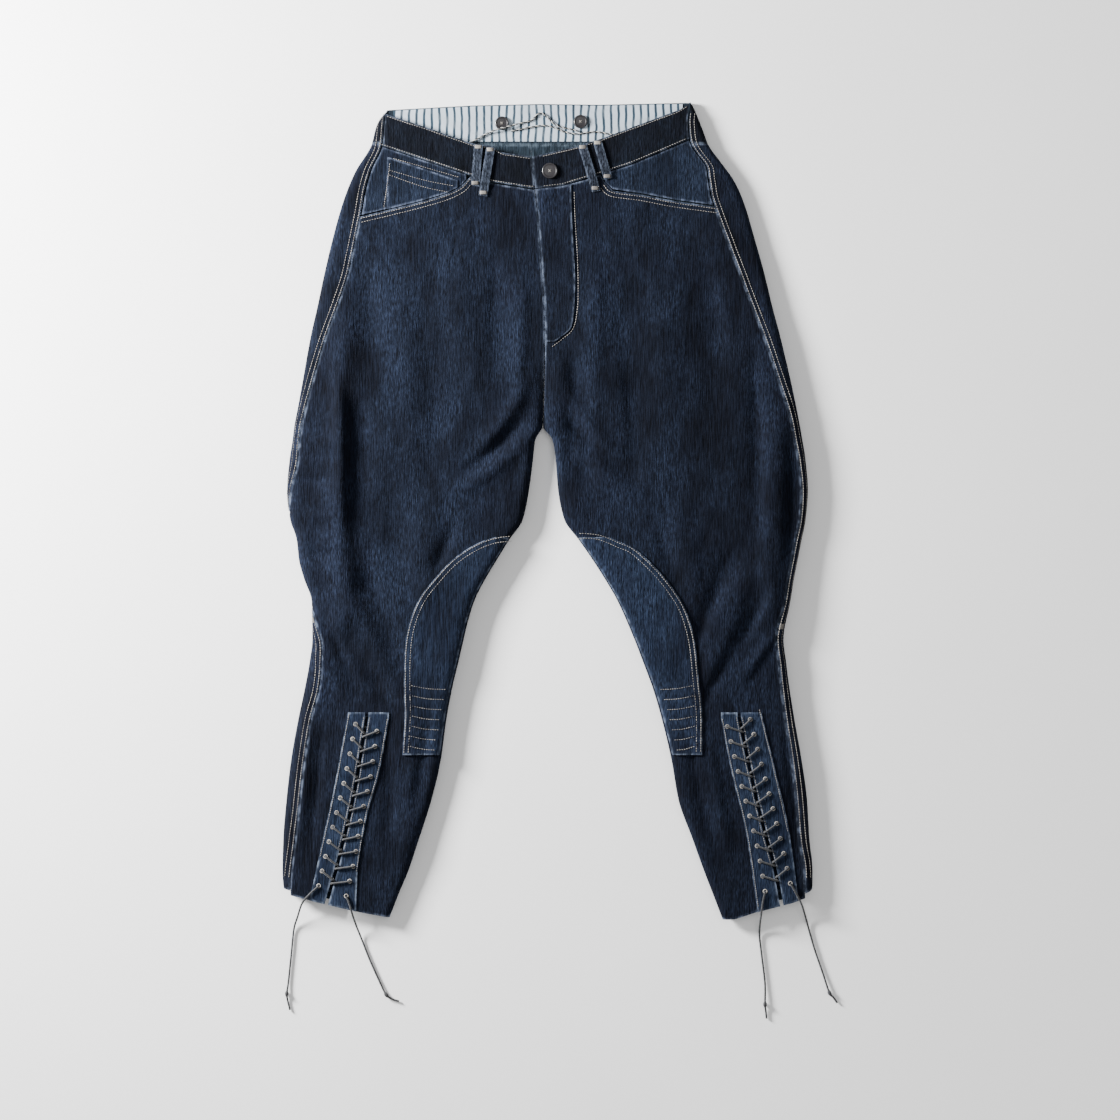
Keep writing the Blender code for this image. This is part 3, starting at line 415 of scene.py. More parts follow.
class Leg:
    """One half of the garment. out is -1 for the left half and 1 for the right."""

    def __init__(self, out, rows, slot):
        self.out = out
        self.rows = {c: np.array([getattr(row, c) for row in sorted(rows)], float) for c in Row._fields}
        self.slot = {c: np.array([getattr(row, c) for row in sorted(slot)], float) for c in Slot._fields}

    def at(self, column, y):
        return steady(self.rows["y"], self.rows[column], y)

    def slot_at(self, column, y):
        return steady(self.slot["y"], self.slot[column], y)

    def spans(self, y):
        """Cloth lengths of the outer edge's arc, the flat and the inner edge's arc."""
        half = self.at("height", y) / 2
        round_out = self.at("round_out", y)
        round_in = self.at("round_in", y)
        inner = self.at("inner", y) + self.out * SEAM_GAP / 2
        flat = np.abs(self.at("outer", y) - inner) - round_out - round_in
        arc_out = math.pi / 2 * np.sqrt((round_out ** 2 + half ** 2) / 2)
        arc_in = math.pi / 2 * np.sqrt((round_in ** 2 + half ** 2) / 2)
        return arc_out, flat, arc_in

    def skin(self, wrap, y):
        """Outside of the cloth. wrap runs round the leg from the outline, above 0 on top."""
        wrap, y = np.broadcast_arrays(np.asarray(wrap, float), np.asarray(y, float))
        half = self.at("height", y) / 2
        close = self.at("close", y)
        arc_out, flat, arc_in = self.spans(y)
        run = np.abs(wrap)
        turn_out = np.clip(run / arc_out, 0, 1) * math.pi / 2
        turn_in = np.clip((run - arc_out - flat) / arc_in, 0, 1) * math.pi / 2
        inset = (self.at("round_out", y) * (1 - np.cos(turn_out)) + np.clip(run - arc_out, 0, flat)
                 + self.at("round_in", y) * np.sin(turn_in))
        x = self.at("outer", y) - self.out * inset
        shut = close * (1 - np.cos(turn_in))
        top = half + (half + fold_height(x, y) * (1 - shut)) * np.sin(turn_out)
        top -= (half - SEAM_GAP / 2) * shut
        low = half * (1 - np.sin(turn_out)) + (half - SEAM_GAP / 2) * shut
        return np.stack([x, y, np.where(wrap >= 0, top, low)], axis=-1)

    def normal(self, wrap, y):
        step = 0.5
        dw = self.skin(wrap + step, y) - self.skin(wrap - step, y)
        dy = self.skin(wrap, y + step) - self.skin(wrap, y - step)
        face = np.cross(dw, dy) * -self.out
        return face / np.linalg.norm(face, axis=-1, keepdims=True)

    def wrap_at(self, x, y):
        """Where a plan point lies round the top of the leg."""
        arc_out, flat, arc_in = self.spans(y)
        round_out = self.at("round_out", y)
        inset = (self.at("outer", y) - x) * self.out
        turn_out = np.arccos(np.clip(1 - np.abs(inset) / round_out, -1, 1))
        on_arc = np.sign(inset) * arc_out * np.minimum(turn_out / (math.pi / 2), 1)
        beyond = np.clip((inset - round_out - flat) / self.at("round_in", y), 0, 1)
        on_top = arc_out + np.clip(inset - round_out, 0, flat) + arc_in * np.arcsin(beyond) * 2 / math.pi
        return np.where(inset < round_out, on_arc, on_top)

    def seam_wrap(self, y):
        return self.wrap_at(self.at("outer", y) - self.out * self.at("seam", y), y)

    def full_wrap(self, y):
        return sum(self.spans(y))

    def plan(self, x, y):
        """Points and normals of the front above plan points."""
        wrap = self.wrap_at(x, y)
        return self.skin(wrap, y), self.normal(wrap, y)


left = Leg(-1, LEFT_ROWS, LEFT_SLOT)
right = Leg(1, RIGHT_ROWS, RIGHT_SLOT)
LEGS = {"left": left, "right": right}

# Creases, in mm: a bent line through three plan points, the width, the rise
# (below 0 for a trough) and lean, which makes one side steeper. Back ones are seen from under.
Crease = namedtuple("Crease", "x0 y0 x1 y1 x2 y2 width rise lean")
FRONT_CREASES = [
    Crease(-266, 190, -259, 90, -262, -20, 7, 1.6, 0.6),
    Crease(-252, 160, -247, 60, -250, -60, 6, -1.7, -0.5),
    Crease(-236, 330, -222, 240, -214, 150, 16, -1.5, 0.3),
    Crease(-190, 300, -178, 190, -172, 60, 20, 1.4, -0.4),
    Crease(-150, 240, -140, 120, -146, 10, 15, -1.4, 0.4),
    Crease(-120, 340, -104, 230, -92, 140, 18, 1.2, 0.3),
    Crease(-70, 330, -62, 240, -66, 150, 12, -1.3, -0.4),
    Crease(-34, 300, -30, 210, -40, 120, 9, 1.3, 0.2),
    Crease(-20, 170, -52, 110, -90, 74, 9, 1.7, 0.5),
    Crease(-24, 128, -60, 78, -108, 48, 8, -1.8, -0.3),
    Crease(-22, 92, -66, 46, -120, 20, 9, 1.5, 0.4),
    Crease(-200, 40, -190, -40, -196, -96, 13, -1.6, 0.2),
    Crease(-160, 0, -150, -60, -156, -120, 11, 1.4, -0.3),
    Crease(-116, -10, -128, -52, -150, -84, 8, -1.5, 0.4),
    Crease(-246, -120, -226, -160, -204, -196, 6, 1.6, -0.5),
    Crease(-276, -150, -258, -192, -236, -226, 7, -1.8, 0.5),
    Crease(-300, -176, -276, -206, -252, -232, 6, 1.4, 0.2),
    Crease(-222, -232, -200, -250, -176, -262, 5, -1.2, 0.3),
    Crease(-206, -280, -196, -350, -202, -420, 8, -1.1, 0.2),
    Crease(-176, -300, -170, -380, -184, -450, 9, 1.2, -0.2),
    Crease(-148, -250, -158, -330, -178, -400, 7, -1.0, 0.1),
    Crease(-300, -250, -306, -330, -314, -420, 6, 1.1, 0.3),
    Crease(-284, -270, -292, -350, -302, -440, 5, -1.0, 0.0),
    Crease(-280, 330, -262, 318, -238, 322, 7, 1.0, 0.3),
    Crease(-214, 372, -190, 350, -160, 344, 9, -0.9, 0.2),
    Crease(-300, 96, -286, 84, -268, 82, 4, 1.3, 0.4),
    Crease(-318, 46, -300, 36, -278, 38, 4, -1.4, 0.3),
    Crease(-312, 0, -292, -10, -270, -6, 4, 1.2, 0.5),
    Crease(-306, -52, -288, -60, -268, -54, 4, -1.2, -0.3),
    Crease(60, 330, 66, 230, 58, 130, 14, 1.3, 0.3),
    Crease(100, 300, 108, 200, 104, 100, 12, -1.5, -0.4),
    Crease(150, 330, 156, 220, 150, 110, 18, 1.3, 0.3),
    Crease(200, 320, 214, 210, 220, 90, 16, -1.4, 0.4),
    Crease(30, 210, 36, 120, 26, 40, 9, -1.8, 0.5),
    Crease(18, 170, 46, 112, 84, 72, 9, 1.6, 0.4),
    Crease(20, 122, 60, 78, 110, 48, 8, -1.7, 0.3),
    Crease(28, 84, 74, 44, 126, 18, 9, 1.5, 0.2),
    Crease(262, 210, 270, 90, 266, -40, 8, -1.9, 0.5),
    Crease(306, 90, 310, 10, 304, -70, 6, -1.5, -0.4),
    Crease(280, -96, 262, -140, 238, -180, 7, -1.6, 0.3),
    Crease(236, -84, 216, -130, 196, -178, 6, 1.5, -0.4),
    Crease(292, -150, 266, -190, 240, -222, 6, 1.5, 0.4),
    Crease(170, 10, 178, -60, 190, -110, 12, 1.4, 0.2),
    Crease(140, -20, 150, -60, 170, -96, 8, -1.4, 0.4),
    Crease(230, -180, 214, -220, 196, -246, 6, -1.3, 0.3),
    Crease(206, -290, 214, -360, 232, -440, 8, 1.2, 0.2),
    Crease(178, -280, 190, -350, 212, -430, 7, -1.1, 0.3),
    Crease(300, -260, 308, -340, 322, -430, 6, -1.0, 0.2),
    Crease(250, 350, 226, 336, 196, 344, 8, 1.0, 0.3),
    Crease(120, 388, 150, 362, 190, 352, 9, -1.0, 0.3),
]
BACK_CREASES = [
    Crease(-150, 300, -140, 120, -160, -60, 26, -1.4, 0.2),
    Crease(-230, 240, -236, 60, -226, -140, 22, -1.2, 0.3),
    Crease(-60, 180, -120, 60, -190, 10, 20, -1.5, 0.2),
    Crease(-200, -120, -236, -180, -280, -210, 14, -1.3, 0.4),
    Crease(-220, -260, -228, -360, -250, -460, 20, -1.1, 0.1),
    Crease(70, 190, 130, 70, 210, 20, 20, -1.5, 0.2),
    Crease(160, 310, 150, 140, 172, -50, 24, -1.3, 0.3),
    Crease(240, 220, 250, 40, 236, -150, 22, -1.2, 0.2),
    Crease(200, -110, 240, -170, 286, -200, 14, -1.4, 0.4),
    Crease(236, -260, 244, -360, 268, -460, 20, -1.1, 0.1),
]


CREASE_DEPTH = 2.4


def crease_height(creases, x, y):
    total = np.zeros(np.broadcast(x, y).shape)
    for c in creases:
        t = np.linspace(0, 1, 9)
        line_x = c.x0 * (1 - t) ** 2 + 2 * c.x1 * t * (1 - t) + c.x2 * t ** 2
        line_y = c.y0 * (1 - t) ** 2 + 2 * c.y1 * t * (1 - t) + c.y2 * t ** 2
        best = np.full(total.shape, 1e9)
        side = np.zeros(total.shape)
        where = np.zeros(total.shape)
        for k in range(8):
            ex, ey = line_x[k + 1] - line_x[k], line_y[k + 1] - line_y[k]
            long = ex * ex + ey * ey
            s = np.clip(((x - line_x[k]) * ex + (y - line_y[k]) * ey) / long, 0, 1)
            dx, dy = x - line_x[k] - ex * s, y - line_y[k] - ey * s
            off = np.hypot(dx, dy)
            near = off < best
            best = np.where(near, off, best)
            side = np.where(near, np.sign(dx * ey - dy * ex), side)
            where = np.where(near, (k + s) / 8, where)
        width = c.width * (1 + 0.55 * c.lean * side)
        taper = np.sin(math.pi * np.clip(where, 0.04, 0.96)) ** 0.7
        total += CREASE_DEPTH * c.rise * np.exp(-(best / width) ** 2) * taper
    return total


def ripple(x, y):
    """Slight unevenness of worn cloth, up to about half a millimetre."""
    return (0.28 * np.sin(x / 23.0 + 1.3 * np.sin(y / 61.0)) * np.sin(y / 37.0 + 0.9 * np.sin(x / 47.0))
            + 0.16 * np.sin(x / 9.1 + 2.1 * np.sin(y / 33.0)) * np.cos(y / 15.7 + 1.7 * np.sin(x / 29.0)))


def dressed(leg, wrap, y):
    """Outside of the cloth with its creases, and its normals."""
    point = leg.skin(wrap, y)
    facing = leg.normal(wrap, y)
    x = point[..., 0]
    on_top = np.clip(np.asarray(wrap) / 12, 0, 1)
    under = np.clip(-np.asarray(wrap) / 30, 0, 1)
    raised = (crease_height(FRONT_CREASES, x, y) + ripple(x, y)) * on_top
    raised += (crease_height(BACK_CREASES, x, y) - 0.4 + ripple(x, y)) * under
    shut = 1 - leg.at("close", y) * np.clip((leg.spans(y)[2] - leg.full_wrap(y) + np.abs(wrap)) / 12, 0, 1)
    return point + facing * (raised * shut)[..., None], facing


def dressed_plan(leg, x, y):
    return dressed(leg, leg.wrap_at(x, y), y)


# Cloth walls over a grid, and rows of stitches.


def edge_distance(points, used, cells):
    """Distance of each grid point from the nearest edge of its piece, in mm."""
    rows, columns = used.shape
    whole = np.zeros((rows + 1, columns + 1), bool)
    whole[1:-1, 1:-1] = cells
    inside = whole[:-1, :-1] & whole[1:, :-1] & whole[:-1, 1:] & whole[1:, 1:]
    far = np.where(used & inside, 1e3, 0.0)
    across_step = np.linalg.norm(np.diff(points, axis=1), axis=2)
    down_step = np.linalg.norm(np.diff(points, axis=0), axis=2)
    for j in range(1, columns):
        far[:, j] = np.minimum(far[:, j], far[:, j - 1] + across_step[:, j - 1])
    for j in range(columns - 2, -1, -1):
        far[:, j] = np.minimum(far[:, j], far[:, j + 1] + across_step[:, j])
    for i in range(1, rows):
        far[i] = np.minimum(far[i], far[i - 1] + down_step[i - 1])
    for i in range(rows - 2, -1, -1):
        far[i] = np.minimum(far[i], far[i + 1] + down_step[i])
    return far


def cloth(name, points, normals, lift, thick, outside_look, inside_look, cells=None, soft_edge=0.4,
          wear=None):
    """A closed cloth wall over a grid of points: its outside is lift above them, its edges rounded."""
    rows, columns = points.shape[:2]
    if cells is None:
        cells = np.ones((rows - 1, columns - 1), bool)
    used = np.zeros((rows, columns), bool)
    for di in (0, 1):
        for dj in (0, 1):
            used[di:rows - 1 + di, dj:columns - 1 + dj] |= cells
    far = edge_distance(points, used, cells)
    lift = np.broadcast_to(np.asarray(lift, float), (rows, columns))
    drop = soft_edge * np.exp(-far / 1.2)
    upper = points + normals * (lift - drop)[..., None]
    lower = points + normals * (lift - thick + drop)[..., None]
    order = np.full((rows, columns), -1)
    order[used] = np.arange(used.sum())
    count = int(used.sum())
    verts = np.concatenate([upper[used], lower[used]]) * MM
    i, j = np.nonzero(cells)
    top = np.stack([order[i, j], order[i, j + 1], order[i + 1, j + 1], order[i + 1, j]], axis=1)
    faces = [top, top[:, ::-1] + count]
    for di, dj, a, b in ((-1, 0, (0, 0), (0, 1)), (0, 1, (0, 1), (1, 1)), (1, 0, (1, 1), (1, 0)),
                         (0, -1, (1, 0), (0, 0))):
        beside_i, beside_j = i + di, j + dj
        inner = (beside_i >= 0) & (beside_i < rows - 1) & (beside_j >= 0) & (beside_j < columns - 1)
        open_edge = ~inner
        open_edge[inner] = ~cells[beside_i[inner], beside_j[inner]]
        p = order[i[open_edge] + a[0], j[open_edge] + a[1]]
        q = order[i[open_edge] + b[0], j[open_edge] + b[1]]
        faces.append(np.stack([q, p, p + count, q + count], axis=1))
    faces = np.concatenate(faces)
    spots = verts[faces[:len(i)]]
    turn = np.cross(spots[:, 2] - spots[:, 0], spots[:, 3] - spots[:, 1])
    if (turn * normals[i, j]).sum() < 0:
        faces = faces[:, ::-1]
    mesh = bpy.data.meshes.new(name + "_cloth")
    mesh.from_pydata(verts.tolist(), [], faces.tolist())
    mesh.materials.append(outside_look)
    mesh.materials.append(inside_look)
    inside_face = np.zeros(len(faces), int)
    inside_face[len(i):2 * len(i)] = 1
    mesh.polygons.foreach_set("material_index", inside_face.tolist())
    mesh.polygons.foreach_set("use_smooth", [True] * len(faces))
    mesh.set_sharp_from_angle(angle=math.radians(50))
    both = np.concatenate([far[used], far[used]])
    mesh.attributes.new("edge", "FLOAT", "POINT").data.foreach_set("value", both.tolist())
    worn = np.zeros((rows, columns)) if wear is None else wear
    both = np.concatenate([worn[used], worn[used]])
    mesh.attributes.new("wear", "FLOAT", "POINT").data.foreach_set("value", both.tolist())
    mesh.update()
    return bpy.data.objects.new(name + "_cloth", mesh)


class Sewing:
    """Gathers stitches and makes one mesh of them."""

    def __init__(self):
        self.verts = []
        self.faces = []

    def bar(self, start, end, up, width):
        """One stitch: a thread that dips into the cloth at both ends."""
        along_it = end - start
        side = np.cross(up, along_it)
        side = side / (np.linalg.norm(side) + 1e-9) * width / 2
        rise = up / (np.linalg.norm(up) + 1e-9) * width / 2
        first = len(self.verts)
        for share, size, sink in ((0.0, 0.45, -0.7), (0.2, 1.0, 0.0), (0.8, 1.0, 0.0), (1.0, 0.45, -0.7)):
            middle = start + along_it * share + rise * sink
            self.verts += [middle + side * size, middle + rise * size * 1.3, middle - side * size]
        for k in range(3):
            a = first + 3 * k
            for m in range(3):
                n = (m + 1) % 3
                self.faces.append((a + m, a + n, a + 3 + n, a + 3 + m))
        self.faces.append((first, first + 2, first + 1))
        self.faces.append((first + 9, first + 10, first + 11))

    def line(self, points, normals, pitch=3.3, length=2.5, width=0.75):
        """A row of stitches along dense points."""
        points = np.asarray(points, float)
        normals = np.broadcast_to(np.asarray(normals, float), points.shape)
        run = np.concatenate([[0], np.cumsum(np.linalg.norm(np.diff(points, axis=0), axis=1))])
        count = np.arange(int(run[-1] / pitch))
        near = (count + 0.5) * pitch - length / 2 + 0.25 * np.sin(count * 12.9)
        start, end, up = [np.stack([np.interp(at, run, table[:, c]) for c in range(3)], axis=1)
                          for at, table in ((near, points), (near + length, points), (near, normals))]
        for k in count:
            self.bar(start[k], end[k], up[k], width)

    def make(self, name, look, slot="denim"):
        mesh = bpy.data.meshes.new(name)
        mesh.from_pydata((np.array(self.verts) * MM).tolist(), [], self.faces)
        mesh.materials.append(look)
        mesh.polygons.foreach_set("use_smooth", [True] * len(self.faces))
        return show(bpy.data.objects.new(name, mesh), slot)


def plan_line(points, spacing=2.0):
    """A smooth plan curve through listed points."""
    flat = [(x, y, 0) for x, y in points]
    return smooth_route(flat, spacing)[:, :2]


def sew_on(sewing, leg, points, lift, shift=0.0, **settings):
    """Stitches along a plan curve on the front of a leg. shift moves the row sideways."""
    line = plan_line(points)
    ahead = np.gradient(line, axis=0)
    ahead /= np.linalg.norm(ahead, axis=1, keepdims=True)
    line = line + np.stack([-ahead[:, 1], ahead[:, 0]], axis=1) * shift
    spots, facing = dressed_plan(leg, line[:, 0], line[:, 1])
    sewing.line(spots + facing * lift, facing, **settings)

# Denim: indigo warp streaks along the leg over a twill, paler where the edges rub.


def denim(name, deep, mid, pale, worn, twill=0.35, streak=(1.5, 24, 9)):
    made, tree, into = finish(name)
    slub = spread(tree, noise(tree, streak, 3, 0.6), 0.3, 0.72)
    thread = spread(tree, noise(tree, (0.8, 7, 4), 2), 0.35, 0.8)
    cloud = spread(tree, noise(tree, (46, 80, 40), 3, 0.55), 0.3, 0.7)
    body = mix(tree, slub, srgb(deep), srgb(mid))
    body = mix(tree, maths(tree, "MULTIPLY", thread, cloud), body, srgb(pale))
    edge = add(tree, "Attribute", attribute_name="edge").outputs["Fac"]
    rubbed = spread(tree, edge, 0.0, 3.4, 1.0, 0.0)
    patchy = spread(tree, noise(tree, (7, 11, 9), 3), 0.42, 0.66, 0.15, 1.0)
    worn_there = add(tree, "Attribute", attribute_name="wear").outputs["Fac"]
    grain = spread(tree, noise(tree, (1.4, 4, 3), 3), 0.3, 0.75)
    share = maths(tree, "MAXIMUM", maths(tree, "MULTIPLY", rubbed, patchy),
                  maths(tree, "MULTIPLY", worn_there, grain))
    tree.links.new(mix(tree, maths(tree, "MULTIPLY", share, 0.5), body, srgb(worn)), into["Base Color"])
    into["Roughness"].default_value = 0.92
    into["Sheen Weight"].default_value = 0.0
    into["Sheen Roughness"].default_value = 0.6
    into["Specular IOR Level"].default_value = 0.06
    rib = add(tree, "TexWave", {"Vector": scaled(tree, (1, 1, 1)), "Scale": 0.45, "Distortion": 0.6},
              bands_direction="DIAGONAL").outputs["Fac"]
    weave = maths(tree, "MULTIPLY_ADD", rib, twill, slub)
    crumple = maths(tree, "MULTIPLY_ADD", noise(tree, (20, 34, 24), 4, 0.55), 7.0, weave)
    tree.links.new(bump(tree, crumple, 0.7, 0.6), into["Normal"])
    return made


leg_denim = denim("raw denim", "05060b", "10141f", "232b3d", "6c778c")
band_denim = denim("waistband denim", "040508", "0b0e15", "191f2b", "626c7e")
facing_denim = denim("pocket denim", "07090f", "141a27", "293244", "6d7890")
patch_denim = denim("patch denim", "080a11", "171e2d", "2d384d", "758094")
flap_denim = denim("flap denim", "0a0e17", "1c2537", "374358", "8490a4")
inside_denim = denim("inside of the denim", "12191f", "212a33", "333e48", "596672", streak=(2.2, 15, 9))

made, tree, into = finish("stitching thread")
tone = spread(tree, noise(tree, (14, 14, 14), 2), 0.35, 0.65)
twist = noise(tree, (0.8, 0.8, 0.8), 1)
tree.links.new(mix(tree, tone, mix(tree, twist, srgb("55524f"), srgb("77726d")), srgb("948f88")),
               into["Base Color"])
into["Roughness"].default_value = 0.8
tree.links.new(bump(tree, twist, 0.4, 0.2), into["Normal"])
thread = made

# Striped ticking of the waistband lining.
STRIPE_PITCH = 9.5
made, tree, into = finish("striped ticking")
spot = add(tree, "SeparateXYZ", {0: add(tree, "TexCoord").outputs["Object"]})
sway = maths(tree, "MULTIPLY", maths(tree, "SUBTRACT", noise(tree, (60, 30, 60), 2), 0.5), 5 * MM)
line = maths(tree, "ADD", spot.outputs[0], sway)
phase = maths(tree, "FRACT", maths(tree, "DIVIDE", line, STRIPE_PITCH * MM))
off_middle = maths(tree, "ABSOLUTE", maths(tree, "SUBTRACT", phase, 0.5))
dark = spread(tree, off_middle, 0.14, 0.2, 1.0, 0.0)
core = spread(tree, off_middle, 0.03, 0.06, 1.0, 0.0)
weft = noise(tree, (1.0, 1.0, 1.0), 3, 0.7)
ground = mix(tree, weft, srgb("8d9aa8"), srgb("bcc6cf"))
stripe = mix(tree, core, srgb("1c3646"), srgb("0a1720"))
soil = spread(tree, noise(tree, (40, 18, 30), 3), 0.45, 0.75, 0.0, 0.35)
tree.links.new(mix(tree, soil, mix(tree, dark, ground, stripe), srgb("7f8a92")), into["Base Color"])
into["Roughness"].default_value = 0.9
tree.links.new(bump(tree, maths(tree, "ADD", weft, noise(tree, (9, 14, 9), 3)), 0.5, 0.4), into["Normal"])
ticking = made


# Leg panels.


def panel_points(leg, zones, top, hem, rows_above, rows_at_hem):
    """A grid over a leg panel from its top edge, through level rows, to its hem.

    zones are (near, far, shares): two lines along the leg and the columns between them."""
    levels = np.concatenate([np.arange(LEVELS[0], SLOT_TOP_Y, -5.0), [SLOT_TOP_Y],
                             np.arange(SLOT_TOP_Y - 5, LEVELS[-1], -5.0), [LEVELS[-1]]])
    above = even(rows_above)[:, None]
    below = even(rows_at_hem, True)[1:, None]
    splits = np.cumsum([0] + [len(shares) for _, _, shares in zones])

    def wraps(y):
        parts = []
        for (near, far, shares), a, b in zip(zones, splits, splits[1:]):
            part = y[:, a:b]
            parts.append(near(part) * (1 - shares) + far(part) * shares)
        return np.concatenate(parts, axis=1)

    def level_of(x):
        first = top(x[:rows_above]) * (1 - above) + LEVELS[0] * above
        middle = np.repeat(levels[:, None], x.shape[1], axis=1)
        last = hem(x[-len(below):]) * below + LEVELS[-1] * (1 - below)
        return np.concatenate([first, middle, last])

    start = np.linspace(leg.at("outer", 300), leg.at("inner", 300), splits[-1])
    y = level_of(np.repeat(start[None, :], rows_above + len(levels) + len(below), axis=0))
    for _ in range(14):
        y = 0.5 * y + 0.5 * level_of(leg.skin(wraps(y), y)[..., 0])
    y = level_of(leg.skin(wraps(y), y)[..., 0])
    points, normals = dressed(leg, wraps(y), y)
    return points, normals, rows_above + int(np.nonzero(levels == SLOT_TOP_Y)[0][0])


def even(count, closed=False):
    return np.linspace(0, 1, count, endpoint=closed)


OUTER_COLUMNS, SLOT_COLUMNS, INNER_COLUMNS, TURN_COLUMNS = 16, 9, 18, 9
for word, leg, top_points, hem_points in (("left", left, LEFT_PANEL_TOP, LEFT_HEM),
                                          ("right", right, RIGHT_PANEL_TOP, RIGHT_HEM)):
    seam = lambda y, g=leg: g.seam_wrap(y) + SEAM_GAP / 2
    slot_out = lambda y, g=leg: g.wrap_at(g.slot_at("outer", y), y)
    slot_in = lambda y, g=leg: g.wrap_at(g.slot_at("inner", y), y)
    bend = lambda y, g=leg: g.full_wrap(y) - g.spans(y)[2]
    zones = ((seam, slot_out, even(OUTER_COLUMNS)), (slot_out, slot_in, even(SLOT_COLUMNS)),
             (slot_in, bend, even(INNER_COLUMNS)), (bend, leg.full_wrap, even(TURN_COLUMNS, True)))
    columns = OUTER_COLUMNS + SLOT_COLUMNS + INNER_COLUMNS + TURN_COLUMNS
    points, normals, slot_row = panel_points(leg, zones, lambda x, t=top_points: across(t, x),
                                             lambda x, h=hem_points: across(h, x), 22, 14)
    cells = np.ones((len(points) - 1, columns - 1), bool)
    cells[slot_row:, OUTER_COLUMNS:OUTER_COLUMNS + SLOT_COLUMNS] = False
    front = show(cloth("front_" + word, points, normals, 0.0, CLOTH, leg_denim, inside_denim, cells),
                 "denim", "front_" + word)

for word, leg, hem_points in (("left", left, LEFT_HEM), ("right", right, RIGHT_HEM)):
    start = lambda y, g=leg: g.seam_wrap(y) - SEAM_GAP
    outline = lambda y, g=leg: -g.spans(y)[0]
    flat_end = lambda y, g=leg: -g.spans(y)[0] - g.spans(y)[1]
    end = lambda y, g=leg: -g.full_wrap(y)
    zones = ((start, outline, even(16)), (outline, flat_end, even(26)), (flat_end, end, even(6, True)))
    hem = lambda x, h=hem_points: across(h, x) + BACK_HEM_RISE
    points, normals, _ = panel_points(leg, zones, lambda x: np.full_like(x, BACK_SEAM_Y - SEAM_GAP), hem,
                                      24, 14)
    back = show(cloth("back_" + word, points, normals, 0.0, CLOTH, leg_denim, inside_denim), "denim",
                "back_" + word)

# Back waistband with its striped lining.
BACK_BAND_COLUMNS = 70
points, normals = [], []
for share in np.linspace(0, 1, 14):
    row_points, row_normals = [], []
    for leg in (left, right):
        x = leg.at("outer", 500)
        level = BACK_SEAM_Y + (across(BACK_TOP, x) - BACK_SEAM_Y) * share
        near = leg.seam_wrap(level) - SEAM_GAP
        far = -leg.full_wrap(level)
        wrap = near + (far - near) * even(BACK_BAND_COLUMNS, True)
        spot, facing = leg.skin(wrap, level), leg.normal(wrap, level)
        ordered = slice(None) if leg is left else slice(None, None, -1)
        spot, facing = spot[ordered], facing[ordered]
        spot[:, 1] += (across(BACK_TOP, spot[:, 0]) - across(BACK_TOP, x)) * share
        keep = slice(None) if leg is left else slice(1, None)
        row_points.append(spot[keep])
        row_normals.append(facing[keep])
    points.append(np.concatenate(row_points))
    normals.append(np.concatenate(row_normals))
back_band = show(cloth("waistband_back", np.array(points), np.array(normals), 0.0, CLOTH, band_denim,
                       inside_denim), "denim", "waistband_back")

x = np.repeat(np.linspace(-196, 172, 120)[None, :], 16, axis=0)
y = LINING_FOOT_Y + (across(BACK_TOP, x) - 1.5 - LINING_FOOT_Y) * even(16, True)[:, None]
lining_top = CLOTH + LAY_GAP + LINING_CLOTH
points = np.stack([x, y, np.full_like(x, lining_top)], axis=-1)
points[..., 2] += 0.35 * np.sin(x / 13 + np.sin(y / 11)) * np.sin(y / 9 + np.sin(x / 31))
facing = np.broadcast_to(np.array([0, 0, 1.0]), points.shape)
lining = show(cloth("waistband_lining", points, facing, 0.0, LINING_CLOTH, ticking, ticking), "ticking",
              "waistband_lining")


# Pieces that lie on the front: a grid of plan points, moved out.


def between(x_left, x_right, low, high, columns, rows):
    """Plan points between two side lines and two cross lines, each a function."""
    v = even(rows, True)[:, None]
    u = even(columns, True)[None, :]
    y = np.full((rows, columns), 0.0) + (low(0 * v) * (1 - v) + high(0 * v) * v)
    for _ in range(12):
        x = x_left(y) * (1 - u) + x_right(y) * u
        y = low(x) * (1 - v) + high(x) * v
    return x, y


def lay(name, leg, x, y, lift, thick, look, slot="denim", under=inside_denim, wear=None):
    points, normals = dressed_plan(leg, x, y)
    return show(cloth(name, points, normals, lift, thick, look, under, wear=wear), slot, name)


def seam_line(leg, inset):
    return lambda y: leg.at("outer", y) - leg.out * (leg.at("seam", y) + inset)


def centre_line(leg):
    return lambda y: leg.at("inner", y) + leg.out * SEAM_GAP / 2


def level_line(x_value):
    return lambda y: np.full_like(y, x_value)


for word, leg in LEGS.items():
    sides = [seam_line(leg, 1.2), centre_line(leg)]
    sides = sides if leg is left else sides[::-1]
    x, y = between(sides[0], sides[1], lambda x: across(BAND_SEAM, x) + 3 * SEAM_GAP,
                   lambda x: across(FRONT_TOP, x), 60, 16)
    band = lay("waistband_front_" + word, leg, x, y, BAND_CLOTH - CLOTH, BAND_CLOTH, band_denim)
for word, leg, mouth, end_x in (("left", left, LEFT_PANEL_TOP, -103.5),
                                ("right", right, RIGHT_PANEL_TOP, 73.5)):
    sides = [seam_line(leg, 1.6), level_line(end_x)]
    sides = sides if leg is left else sides[::-1]
    x, y = between(sides[0], sides[1], lambda x, m=mouth: across(m, x) + 2.2,
                   lambda x: across(BAND_SEAM, x) - SEAM_GAP, 44, 18)
    facing_piece = lay("pocket_facing_" + word, leg, x, y, -FACING_DROP, CLOTH - FACING_DROP, facing_denim)

x, y = between(level_line(-204.0), level_line(-114.0), lambda x: across(LEFT_PANEL_TOP, x) + 1.2,
               lambda x: across(BAND_SEAM, x) - 11.0, 34, 16)
watch = lay("watch_pocket", left, x, y, LAY_GAP + THIN_CLOTH - FACING_DROP, THIN_CLOTH, facing_denim)

